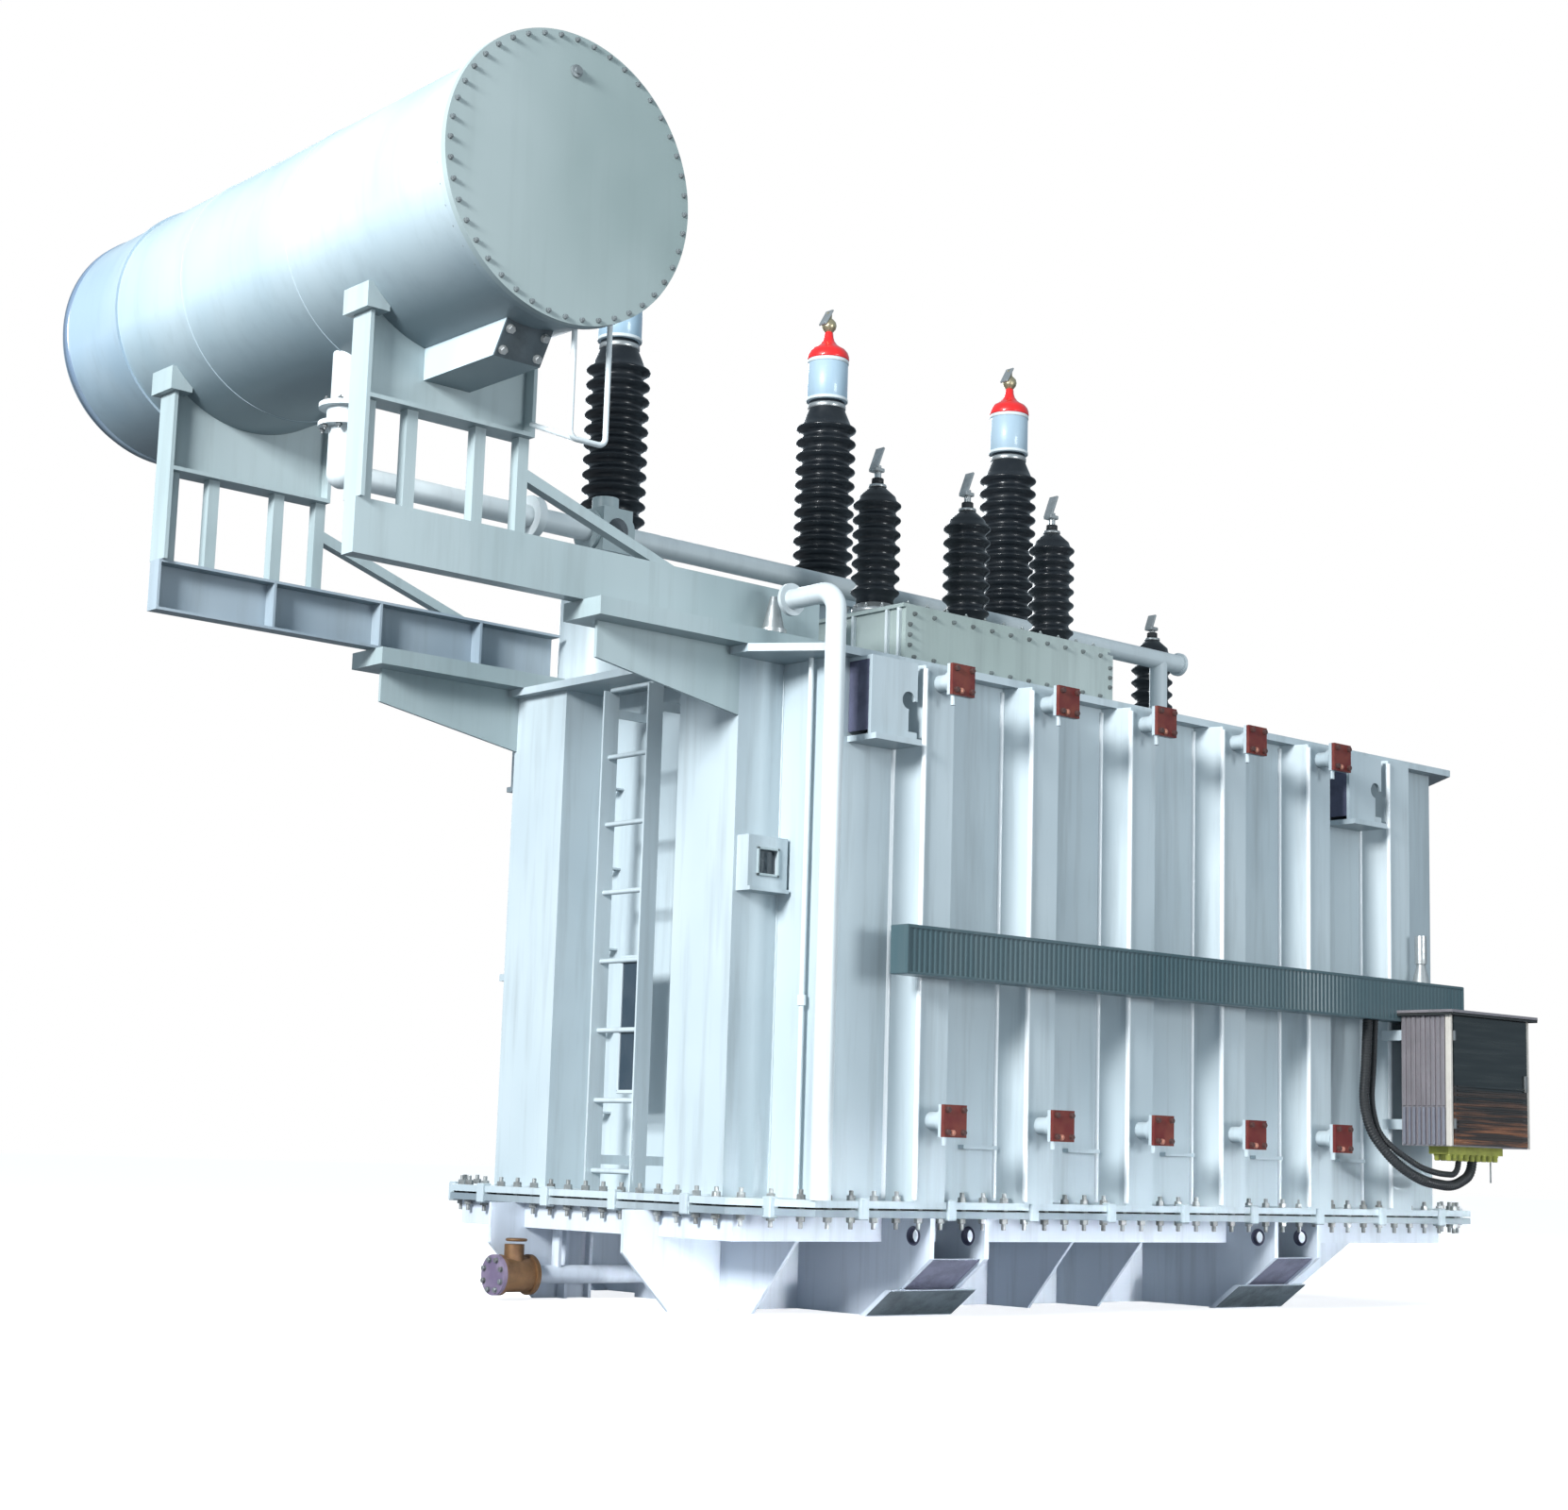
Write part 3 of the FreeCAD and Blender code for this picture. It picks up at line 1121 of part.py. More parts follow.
def make_conduits():
    """Two flexible conduits from the gland row, clipped beside a rib, up into the cable tray."""
    tray_y = -(rib_front + duct_gap + duct_depth / 2).number
    tray_z = (joint_top + duct_rise).number
    gland_y = -(rib_front + cabinet_gap + cabinet_depth * 0.5).number
    gland_z = (joint_top + cabinet_rise - gland_drop).number
    left = cabinet_left.number
    sag_z = gland_z - 190
    cord_routes = []
    thick = (conduit_radius, 470, 0)
    thin = (conduit_radius * 0.6, 330, 75)
    for index, (radius, from_left, spread) in enumerate((thick, thin)):
        start_x = left + from_left
        cord_routes.append(cord_tube(f"conduit_{index}", radius, [
            (start_x, gland_y, gland_z),
            (start_x - 30, gland_y, gland_z - 120),
            (start_x - 210, gland_y, sag_z + spread),
            (left - 20, gland_y + 25, sag_z + 30 + spread),
            (left - 190, gland_y + 90, sag_z + 130 + spread),
            (left - 310 + spread, tray_y - 60, sag_z + 300),
            (left - 310 + spread, tray_y - 10, sag_z + 480),
            (left - 270 + spread, tray_y, sag_z + 680),
            (left - 250 + spread, tray_y, tray_z),
        ]))
    label(gathered("conduits", cord_routes), "cabinet_conduits")


for make in (make_base, make_flanges, make_tank, make_hooks, make_brackets, make_beams, make_saddles,
             make_conservator, make_header, make_pipes, make_ladder, make_gauge_box, make_high_voltage,
             make_low_voltage, make_radiator_valves, make_cabinet_side, make_fittings, make_conduits):
    make()
doc.recompute()

for item in doc.Objects:
    if "Invalid" in item.State or "Error" in item.State:
        raise RuntimeError(f"{item.Label} failed: {item.State}")
for node in nodes:
    if node.Shape.isNull() or not node.Shape.isValid() or not node.Shape.Solids:
        raise RuntimeError(f"{node.Label} has no valid solid")

os.makedirs("parts", exist_ok=True)
for node in nodes:
    node.Shape.exportStep(f"parts/{node.Label}.step")
print(len(nodes), "nodes")
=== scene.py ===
"""Looks of an oil-filled power transformer, laid out as an add-on and run as a script.

Every surface is in metres in the part's own frame: X along the tank, Y across it, Z up, with the
origin on the ground under the tank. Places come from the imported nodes' corners.
"""
import math

import bmesh
import bpy
import numpy as np
from mathutils import Matrix, Vector


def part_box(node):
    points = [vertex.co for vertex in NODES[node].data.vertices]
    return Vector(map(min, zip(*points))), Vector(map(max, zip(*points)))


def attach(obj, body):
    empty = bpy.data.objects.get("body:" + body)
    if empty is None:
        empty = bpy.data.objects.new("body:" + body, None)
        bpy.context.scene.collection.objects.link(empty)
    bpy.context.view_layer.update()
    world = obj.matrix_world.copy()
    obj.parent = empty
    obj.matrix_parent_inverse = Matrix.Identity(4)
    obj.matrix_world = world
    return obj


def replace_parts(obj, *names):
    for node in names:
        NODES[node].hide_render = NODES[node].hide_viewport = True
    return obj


bl_info = {
    "name": "Power transformer looks",
    "version": (1, 0, 0),
    "blender": (4, 5, 0),
    "location": "View3D > Sidebar > Transformer",
    "description": "Bushings, bolts, welds, fittings and paint for an oil-filled power transformer",
    "category": "Object",
}

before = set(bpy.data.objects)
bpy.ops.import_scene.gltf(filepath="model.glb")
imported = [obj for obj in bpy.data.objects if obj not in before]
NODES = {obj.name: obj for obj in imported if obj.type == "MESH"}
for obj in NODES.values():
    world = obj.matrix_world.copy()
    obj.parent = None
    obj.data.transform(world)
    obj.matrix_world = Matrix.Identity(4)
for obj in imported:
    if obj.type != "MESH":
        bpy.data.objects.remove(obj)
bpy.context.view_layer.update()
FINISHES = {}

# Sizes that several pieces share.
RIB_PITCH = 0.79          # spacing of the ribs, and of the valves between them
RIB_COUNT = 6
VALVE_COLUMNS = 5
BLANK_HALF = 0.08         # half the side of a blanking plate
BLANK_BOLT = 0.055        # from the middle of a blanking plate to its bolts, both ways
PILASTER_WIDTH = 0.47
BEAD_STEP = 0.03          # spacing of the points along a weld bead
ROOF_OVERHANG = 0.045     # how far the cabinet's roof stands out past its walls
LUG_MIDDLES = (-1.715, 1.03)
LUG_HALF_GAP = 0.195      # from the middle of a pair of hauling lugs to each lug
HAUL_HOLE = (1.38, 0.41)  # distance from the middle plane and height of a hauling hole
# the dark sheets are painted shade
SHEET = 0.003             # thickness of the dark sheets under the sloping plates
RELAY_AXIS = 0.115        # height of the pipe's axis above the relay's lowest point
UP, DOWN = (0, 0, 1), (0, 0, -1)
FADED = (0.72, 0.79, 0.81, 1)
# colour of the painted shade on surfaces that face down
UNDERSIDE_SHADE = (0.075, 0.115, 0.135, 1)
PALE_DUST = (0.46, 0.44, 0.40, 1)


def corners(node):
    """Lowest and highest corner of a node, as two arrays."""
    low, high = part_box(node)
    return np.array(low), np.array(high)


# ------------------------------------------------------------------------------ settings
def length_prop(name, description, default):
    """A size in metres."""
    return bpy.props.FloatProperty(name=name, description=description, default=default, unit="LENGTH")


def colour_prop(name, description, default):
    """A linear colour."""
    return bpy.props.FloatVectorProperty(name=name, description=description, default=default,
                                         subtype="COLOR", size=3, min=0, max=1)


class TransformerSizes(bpy.types.PropertyGroup):
    """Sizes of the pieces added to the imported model."""
    shed_pitch: length_prop("Shed pitch", "Spacing of the high-voltage sheds", 0.090)
    shed_depth: length_prop("Shed depth", "How far a shed stands out from its core", 0.042)
    small_shed_pitch: length_prop("Small shed pitch", "Spacing of the low-voltage sheds", 0.080)
    bolt_across: length_prop("Bolt head", "Width across the flats of the flange bolts", 0.038)
    bolt_spacing: length_prop("Bolt spacing", "Spacing of the joint flange bolts", 0.155)
    bead_radius: length_prop("Weld bead", "Radius of the weld beads", 0.007)
    tray_flute: length_prop("Tray flute", "Pitch of the cable tray's upright flutes", 0.036)


class TransformerColours(bpy.types.PropertyGroup):
    """Colours of the finishes."""
    enamel: colour_prop("Tank enamel", "Grey-blue enamel of the tank", (0.44, 0.52, 0.56))
    # paler paint, made brighter still as painted light bounced up from the floor
    base: colour_prop("Base enamel", "Paler enamel of the skid, lugs and lower tray", (0.62, 0.68, 0.77))
    drum: colour_prop("Drum enamel", "Enamel of the conservator", (0.38, 0.49, 0.55))
    cover: colour_prop("Drum cover", "Enamel of the conservator's flat cover", (0.27, 0.345, 0.34))
    box: colour_prop("Box enamel", "Grey-green enamel of the low-voltage box", (0.35, 0.42, 0.395))
    glaze: colour_prop("Glaze", "Dark glaze of the bushings", (0.009, 0.012, 0.016))
    cap: colour_prop("Cap enamel", "Blue-grey enamel of the bushing caps", (0.33, 0.48, 0.60))
    bell: colour_prop("Bell red", "Red of the bushing bells", (0.80, 0.012, 0.012))
    primer: colour_prop("Primer", "Red-brown primer of the blanking plates", (0.13, 0.012, 0.010))
    tray: colour_prop("Tray enamel", "Dark teal enamel of the cable tray", (0.04, 0.085, 0.10))


# ------------------------------------------------------------------------------ mesh makers
def add_piece(name, points, faces, finish, slot=None, smooth=True):
    """Make a mesh object from points and faces in a named finish, and fix it to the transformer."""
    mesh = bpy.data.meshes.new(name)
    mesh.from_pydata(np.asarray(points, float).tolist(), [], [list(face) for face in faces])
    mesh.validate()
    mesh.update()
    piece = bpy.data.objects.new(name, mesh)
    bpy.context.scene.collection.objects.link(piece)
    mesh.materials.append(FINISHES[finish])
    mesh.polygons.foreach_set("use_smooth", np.full(len(mesh.polygons), smooth))
    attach(piece, "root")
    return piece


def grid_faces(rows, columns):
    """Quads between neighbouring points of a grid stored row by row, each row closed on itself."""
    a, b = np.meshgrid(np.arange(rows - 1), np.arange(columns), indexing="ij")
    b2 = (b + 1) % columns
    quads = np.stack([a * columns + b, a * columns + b2, (a + 1) * columns + b2, (a + 1) * columns + b], -1)
    return quads.reshape(-1, 4)


def tube_faces(rings, count, closed_ends=True):
    """Quads round a stack of rings of count points, with one flat face over each end."""
    faces = grid_faces(rings, count).tolist()
    if closed_ends:
        last = (rings - 1) * count
        faces += [list(range(count))[::-1], list(range(last, last + count))]
    return faces


TURN = {
    "Z": np.eye(3),
    "X": np.array([[0, 0, 1], [1, 0, 0], [0, 1, 0]], float),
    "Y": np.array([[0, 1, 0], [0, 0, 1], [1, 0, 0]], float),
}


def turned(profile, centre=(0, 0, 0), axis="Z", sign=1, count=48):
    """Turn a profile of (radius, height) about an axis.

    A point is the centre plus radius times (cos t, sin t) across the axis plus height along it,
    with t going once round in count steps. The ends are closed by the profile starting and
    ending on the axis, where a ring shrinks to one point's radius.
    """
    profile = np.asarray(profile, float)
    angle = np.linspace(0, 2 * np.pi, count, endpoint=False) * sign
    radius, height = np.maximum(profile[:, 0], 1e-4)[:, None], profile[:, 1][:, None]
    ring = np.stack([radius * np.cos(angle), radius * np.sin(angle), height * sign + 0 * angle], -1)
    points = ring.reshape(-1, 3) @ TURN[axis].T + np.asarray(centre, float)
    return points, tube_faces(len(profile), count)


def swept(path, radius, count=12, closed_ends=True):
    """Carry a circle along a path.

    At each path point the ring lies across the path's direction: the first side vector is the
    direction crossed with a fixed reference, the second is the direction crossed with the first.
    radius is one number or one for each path point.
    """
    path = np.asarray(path, float)
    ahead = np.gradient(path, axis=0)
    ahead /= np.linalg.norm(ahead, axis=1)[:, None]
    mean = np.abs(ahead).mean(0)
    reference = np.eye(3)[int(np.argmin(mean))]
    side = np.cross(ahead, reference)
    side /= np.linalg.norm(side, axis=1)[:, None]
    other = np.cross(ahead, side)
    angle = np.linspace(0, 2 * np.pi, count, endpoint=False)
    radius = np.broadcast_to(np.asarray(radius, float), (len(path),))
    cosine, sine = np.cos(angle)[None, :, None], np.sin(angle)[None, :, None]
    ring = side[:, None, :] * cosine + other[:, None, :] * sine
    points = (path[:, None, :] + ring * radius[:, None, None]).reshape(-1, 3)
    return points, tube_faces(len(path), count, closed_ends)


def line(x, y, z):
    """Points whose coordinates are each one number for all, or one for each point."""
    return np.stack(np.broadcast_arrays(x, y, z), -1)


def slab_points(low, high, edge):
    """A block between two corners with its edges cut at 45 degrees.

    Each of the eight corners becomes three points, each pulled in along two axes by the edge.
    """
    low, high = np.asarray(low, float), np.asarray(high, float)
    middle, half = (low + high) / 2, (high - low) / 2
    edge = min(edge, half.min() * 0.8)
    signs = np.array([[x, y, z] for x in (-1, 1) for y in (-1, 1) for z in (-1, 1)], float)
    points = []
    for axis in range(3):
        pull = np.full(3, edge)
        pull[axis] = 0
        points.append(signs * (half - pull) + middle)
    return np.concatenate(points)


def hull_faces(points):
    """Faces of the convex shape round some points."""
    shape = bmesh.new()
    for point in points:
        shape.verts.new(point)
    bmesh.ops.convex_hull(shape, input=shape.verts)
    shape.verts.index_update()
    faces = [[vertex.index for vertex in face.verts] for face in shape.faces]
    shape.free()
    return faces


BLOCK_FACES = hull_faces(slab_points((0, 0, 0), (1, 1, 1), 0.1))


def slabs(boxes, edge):
    """Several cut-edged blocks as one set of points and faces."""
    return gathered([(slab_points(low, high, edge), BLOCK_FACES) for low, high in boxes])


def add_blocks(name, boxes, finish, edge):
    """Add several cut-edged blocks as one flat-faced piece."""
    return add_piece(name, *slabs(boxes, edge), finish, smooth=False)


def gathered(parts):
    """Join several (points, faces) sets into one."""
    points, faces, start = [], [], 0
    for part_points, part_faces in parts:
        points.append(np.asarray(part_points, float))
        faces += [[index + start for index in face] for face in part_faces]
        start += len(part_points)
    return np.concatenate(points), faces


def stamped(template, places, axes):
    """Copy a small template to many places, its own Z turned to each place's axis or to one axis.

    The template's points times the turned frame plus the place give all copies as one array.
    """
    points, faces = template
    places = np.asarray(places, float)
    axes = np.broadcast_to(np.asarray(axes, float), places.shape)
    axes = axes / np.linalg.norm(axes, axis=1)[:, None]
    helper = np.where(np.abs(axes[:, 2:3]) > 0.9, [[1.0, 0, 0]], [[0, 0, 1.0]])
    side = np.cross(helper, axes)
    side /= np.linalg.norm(side, axis=1)[:, None]
    other = np.cross(axes, side)
    frames = np.stack([side, other, axes], 1)
    copies = np.einsum("pk,nkj->npj", points, frames) + places[:, None, :]
    shift = (np.arange(len(places)) * len(points)).tolist()
    all_faces = [[index + start for index in face] for start in shift for face in faces]
    return copies.reshape(-1, 3), all_faces


def bolt_template(across, stud=0.0):
    """A hexagon head on a washer, with an optional stud end above it.

    The washer is a low 14-sided ring of 0.62 times the width across flats, and the head a
    six-sided ring of 0.577 times that width, its top corners cut at a slope.
    """
    base, shoulder, top, corner = across * 0.09, across * 0.6, across * 0.68, across * 0.577
    washer = turned([(0, 0), (across * 0.62, 0), (across * 0.62, base), (0, base)], count=14)
    head = turned([(0, base), (corner, base), (corner, shoulder), (corner * 0.86, top), (0, top)], count=6)
    parts = [washer, head]
    if stud:
        thread, tip = across * 0.3, across * 0.72 + stud
        parts.append(turned([(0, shoulder), (thread, shoulder), (thread, top + stud),
                             (across * 0.24, tip), (0, tip)], count=10))
    return gathered(parts)


def bolts_on(spots, axis, across, stud=0.0):
    """Bolts of one size at several spots, all facing one way."""
    return stamped(bolt_template(across, stud), spots, axis)


def along(outline, spacing):
    """Points at an even spacing along the straight sides of a closed outline, none on a corner."""
    starts = np.asarray(outline, float)
    places = []
    for start, end in zip(starts, np.roll(starts, -1, axis=0)):
        count = max(1, int(round(np.linalg.norm(end - start) / spacing)))
        share = (np.arange(count) + 0.5) / count
        places.append(start + share[:, None] * (end - start))
    return np.concatenate(places)


def ring_of(centre, radius, count, axis="Z", phase=0.0):
    """Points evenly round a circle across an axis."""
    angle = (np.arange(count) + phase) * 2 * np.pi / count
    flat = np.stack([radius * np.cos(angle), radius * np.sin(angle), 0 * angle], -1)
    return flat @ TURN[axis].T + np.asarray(centre, float)


# ------------------------------------------------------------------------------ shader tools
def feed(tree, value, socket):
    """Link an output to a socket, or set the socket to a plain value."""
    if hasattr(value, "is_output"):
        tree.links.new(value, socket)
    else:
        socket.default_value = value


def mixed(tree, factor, low, high):
    """A colour mix of two sockets or plain colours."""
    mix = tree.nodes.new("ShaderNodeMix")
    mix.data_type = "RGBA"
    for value, socket in ((factor, mix.inputs["Factor"]), (low, mix.inputs[6]), (high, mix.inputs[7])):
        feed(tree, value, socket)
    return mix.outputs[2]


def ranged(tree, value, low, high, out_low=0.0, out_high=1.0):
    """Stretch a value from one range to another, held at its ends."""
    made = tree.nodes.new("ShaderNodeMapRange")
    for socket, given in zip(made.inputs, (value, low, high, out_low, out_high)):
        feed(tree, given, socket)
    return made.outputs[0]


def combined(tree, kind, first, second):
    """A maths node on two sockets or numbers."""
    made = tree.nodes.new("ShaderNodeMath")
    made.operation = kind
    for socket, value in zip(made.inputs, (first, second)):
        feed(tree, value, socket)
    return made.outputs[0]


def vector_parts(tree, source):
    """The X, Y and Z of a vector output."""
    parts = tree.nodes.new("ShaderNodeSeparateXYZ")
    feed(tree, source, parts.inputs[0])
    return parts.outputs


def noise_at(tree, scale, stretch=(1, 1, 1), detail=4.0, roughness=0.55):
    """Noise on the object's own coordinates, stretched along the axes."""
    place = tree.nodes.new("ShaderNodeTexCoord")
    mapping = tree.nodes.new("ShaderNodeMapping")
    mapping.inputs["Scale"].default_value = stretch
    noise = tree.nodes.new("ShaderNodeTexNoise")
    for key, value in (("Scale", scale), ("Detail", detail), ("Roughness", roughness)):
        noise.inputs[key].default_value = value
    feed(tree, place.outputs["Object"], mapping.inputs["Vector"])
    feed(tree, mapping.outputs["Vector"], noise.inputs["Vector"])
    return noise.outputs["Fac"]


def new_group(name, inputs, outputs):
    """An empty node group with named sockets."""
    tree = bpy.data.node_groups.new(name, "ShaderNodeTree")
    for socket_name, kind, value in inputs:
        socket = tree.interface.new_socket(socket_name, in_out="INPUT", socket_type=kind)
        socket.default_value = value
    for socket_name, kind in outputs:
        tree.interface.new_socket(socket_name, in_out="OUTPUT", socket_type=kind)
    return tree, tree.nodes.new("NodeGroupInput"), tree.nodes.new("NodeGroupOutput")


def weathering_and_shade_group():
    """Paint that has stood outdoors: rain streaks down the walls, cloudy fading and dust on top, with painted
    shade on the undersides.

    Streaks are noise squeezed along X and Y and drawn out along Z. Cloud is a broad noise. Dust
    grows with how far a surface faces up, and painted shade with how far it faces down.
    """
    tree, given, out = new_group(
        "outdoor_weathering_and_underside_shade",
        [("Paint", "NodeSocketColor", (0.5, 0.58, 0.61, 1)),
         ("Dirt", "NodeSocketColor", (0.17, 0.19, 0.19, 1)),
         ("Streaks", "NodeSocketFloat", 0.3), ("Cloud", "NodeSocketFloat", 0.3),
         ("Dust", "NodeSocketFloat", 0.25), ("Underside shade", "NodeSocketFloat", 0.7)],
        [("Colour", "NodeSocketColor"), ("Roughness", "NodeSocketFloat"), ("Height", "NodeSocketFloat")])

    def times(first, second):
        return combined(tree, "MULTIPLY", first, second)

    wanted = given.outputs
    streak = ranged(tree, noise_at(tree, 5.0, (2.4, 2.4, 0.16), 5.0, 0.6), 0.5, 0.78)
    cloud = ranged(tree, noise_at(tree, 0.9, (1, 1, 0.6), 3.0), 0.35, 0.7)
    fine = noise_at(tree, 60.0, (1, 1, 0.5), 3.0)
    light = mixed(tree, times(cloud, wanted["Cloud"]), wanted["Paint"], FADED)
    dirty = mixed(tree, times(streak, wanted["Streaks"]), light, wanted["Dirt"])
    slope = vector_parts(tree, tree.nodes.new("ShaderNodeNewGeometry").outputs["Normal"])["Z"]
    speckle = ranged(tree, fine, 0.35, 0.65, 0.4, 1.0)
    dust = times(times(ranged(tree, slope, 0.45, 0.95), speckle), wanted["Dust"])
    # painted shade: the further a surface faces down, the darker it is painted
    below = times(ranged(tree, slope, -0.88, -0.22, 1.0, 0.0), wanted["Underside shade"])
    feed(tree, mixed(tree, dust, mixed(tree, below, dirty, UNDERSIDE_SHADE), PALE_DUST), out.inputs["Colour"])
    rough = combined(tree, "ADD", ranged(tree, cloud, 0, 1, 0.30, 0.42), times(dust, 0.5))
    feed(tree, rough, out.inputs["Roughness"])
    feed(tree, combined(tree, "ADD", times(cloud, 0.6), times(fine, 0.12)), out.inputs["Height"])
    return tree


def worn_metal_group():
    """Bare or primed metal: fine grain, darker specks and patches of tarnish.

    Grain is a fine noise, specks are its peaks, and tarnish is a broad noise between two colours.
    """
    tree, given, out = new_group(
        "worn_metal",
        [("Metal", "NodeSocketColor", (0.5, 0.5, 0.5, 1)),
         ("Tarnish", "NodeSocketColor", (0.2, 0.15, 0.1, 1)),
         ("Amount", "NodeSocketFloat", 0.5), ("Gloss", "NodeSocketFloat", 0.35)],
        [("Colour", "NodeSocketColor"), ("Roughness", "NodeSocketFloat"), ("Height", "NodeSocketFloat")])
    patch = ranged(tree, noise_at(tree, 9.0, (1, 1, 1), 6.0, 0.65), 0.42, 0.68)
    grain = noise_at(tree, 130.0, (1, 1, 1), 2.0)
    share = combined(tree, "MULTIPLY", patch, given.outputs["Amount"])
    colour = mixed(tree, share, given.outputs["Metal"], given.outputs["Tarnish"])
    feed(tree, colour, out.inputs["Colour"])
    rough = combined(tree, "ADD", given.outputs["Gloss"], ranged(tree, patch, 0, 1, 0.0, 0.25))
    feed(tree, rough, out.inputs["Roughness"])
    feed(tree, combined(tree, "ADD", grain, patch), out.inputs["Height"])
    return tree


def new_material(name, **values):
    """A material, its node tree and its Principled shader, with plain values set by input name."""
    material = bpy.data.materials.new(name)
    material.use_nodes = True
    shader = material.node_tree.nodes["Principled BSDF"]
    for key, value in values.items():
        shader.inputs[key.replace("_", " ")].default_value = value
    return material, material.node_tree, shader


def surface(name, group, values, metallic=0.0, bump=0.15, coat=0.0, specular=0.5):
    """A material that feeds one group's colour, roughness and height to a Principled shader."""
    material, tree, shader = new_material(
        name, Metallic=metallic, Coat_Weight=coat, Specular_IOR_Level=specular)
    effect = tree.nodes.new("ShaderNodeGroup")
    effect.node_tree = group
    for key, value in values.items():
        effect.inputs[key].default_value = value
    relief = tree.nodes.new("ShaderNodeBump")
    relief.inputs["Strength"].default_value = bump
    relief.inputs["Distance"].default_value = 0.002
    feed(tree, effect.outputs["Colour"], shader.inputs["Base Color"])
    feed(tree, effect.outputs["Roughness"], shader.inputs["Roughness"])
    feed(tree, effect.outputs["Height"], relief.inputs["Height"])
    feed(tree, relief.outputs["Normal"], shader.inputs["Normal"])
    return material


def make_finishes(colours):
    """Every finish of the transformer, by name."""
    weather_and_shade, worn = weathering_and_shade_group(), worn_metal_group()

    def paint(name, colour, streaks=0.3, cloud=0.3, dust=0.25, under=0.7, **more):
        # under sets how strongly the painted underside shade darkens the paint
        values = {"Paint": (*colour, 1), "Streaks": streaks, "Cloud": cloud, "Dust": dust, "Underside shade": under}
        FINISHES[name] = surface(name, weather_and_shade, values, **more)

    def metal(name, colour, tarnish, amount=0.5, gloss=0.35, **more):
        values = {"Metal": (*colour, 1), "Tarnish": (*tarnish, 1), "Amount": amount, "Gloss": gloss}
        FINISHES[name] = surface(name, worn, values, **more)

    paint("tank_enamel", colours.enamel, 0.32, 0.35)
    # the base finish is paler paint plus painted bounce light from the floor
    paint("base_enamel_and_painted_bounce", colours.base, 0.3, 0.3, 0.1, 0.3)
    paint("joint_enamel", (0.20, 0.25, 0.285), 0.5, 0.4, 0.2, 0.5)
    paint("frame_enamel", (0.33, 0.415, 0.43), 0.25, 0.3)
    # darker copy of the frame enamel for the far beam: painted shade
    paint("far_beam_shaded_enamel", (0.27, 0.34, 0.40), 0.25, 0.3, 0.1, 0.8)
    paint("drum_enamel", colours.drum, 0.18, 0.4, 0.1, 0.9)
    paint("dished_enamel", (0.32, 0.43, 0.52), 0.2, 0.5, 0.1, 0.8)
    paint("drum_cover_enamel", colours.cover, 0.12, 0.25, 0.1)
    paint("pipe_enamel", (0.66, 0.72, 0.74), 0.15, 0.4, 0.2, 0.5)
    paint("box_enamel", colours.box, 0.3, 0.25)
    paint("cap_enamel", colours.cap, 0.1, 0.25, 0.1, 0.3, coat=0.4)
    paint("tray_enamel", colours.tray, 0.2, 0.06, 0.15)
    paint("bell_enamel", colours.bell, 0.05, 0.0, 0.02, 0.2, coat=0.5)
    metal("primer", colours.primer, (0.22, 0.06, 0.035), 0.6, 0.45)
    metal("violet_primer", (0.13, 0.10, 0.17), (0.30, 0.25, 0.33), 0.5, 0.5)
    metal("bronze", (0.22, 0.12, 0.055), (0.09, 0.05, 0.03), 0.7, 0.4, metallic=0.55)
    metal("terminal_brass", (0.55, 0.47, 0.30), (0.30, 0.27, 0.20), 0.6, 0.3, metallic=0.85)
    metal("zinc", (0.52, 0.54, 0.54), (0.25, 0.26, 0.26), 0.6, 0.32, metallic=0.8)
    metal("dark_bolt", (0.20, 0.22, 0.23), (0.10, 0.09, 0.08), 0.6, 0.4, metallic=0.5)
    metal("glaze", colours.glaze, (0.016, 0.02, 0.024), 0.5, 0.28, bump=0.03, coat=0.2, specular=0.35)
    metal("rubber", (0.012, 0.014, 0.016), (0.03, 0.032, 0.034), 0.5, 0.5, bump=0.1)
    metal("gasket", (0.02, 0.02, 0.02), (0.05, 0.045, 0.04), 0.5, 0.7)
    metal("gland_yellow", (0.42, 0.44, 0.09), (0.20, 0.20, 0.06), 0.6, 0.35, metallic=0.3)
    metal("cabinet_steel", (0.36, 0.33, 0.35), (0.22, 0.20, 0.22), 0.4, 0.3, metallic=0.6)
    metal("window_glass", (0.03, 0.04, 0.05), (0.06, 0.07, 0.08), 0.4, 0.06, bump=0.0, coat=1.0)
    metal("joint_bolt", (0.36, 0.38, 0.38), (0.10, 0.09, 0.08), 0.8, 0.4, metallic=0.5)
    metal("drum_bolt", (0.22, 0.25, 0.26), (0.07, 0.07, 0.07), 0.5, 0.4, metallic=0.4)
    metal("box_bolt", (0.22, 0.25, 0.25), (0.10, 0.11, 0.11), 0.7, 0.4, metallic=0.5)
    metal("primer_bolt", (0.09, 0.035, 0.03), (0.04, 0.03, 0.03), 0.6, 0.45)
    metal("copper_plug", (0.55, 0.24, 0.17), (0.35, 0.15, 0.10), 0.5, 0.35, metallic=0.4)
    metal("cream_edge", (0.62, 0.58, 0.52), (0.45, 0.42, 0.38), 0.5, 0.35)
    metal("cabinet_fin", (0.30, 0.31, 0.36), (0.18, 0.17, 0.20), 0.5, 0.3, metallic=0.5)
    metal("roof_steel", (0.05, 0.055, 0.055), (0.02, 0.02, 0.02), 0.5, 0.35, metallic=0.4)
    metal("guard_dark", (0.03, 0.05, 0.07), (0.05, 0.07, 0.09), 0.5, 0.3)
    # dark colour of the sump's end plate, also used as painted shade on the foot plates
    metal("plate_dark", (0.075, 0.10, 0.115), (0.04, 0.05, 0.055), 0.6, 0.4)
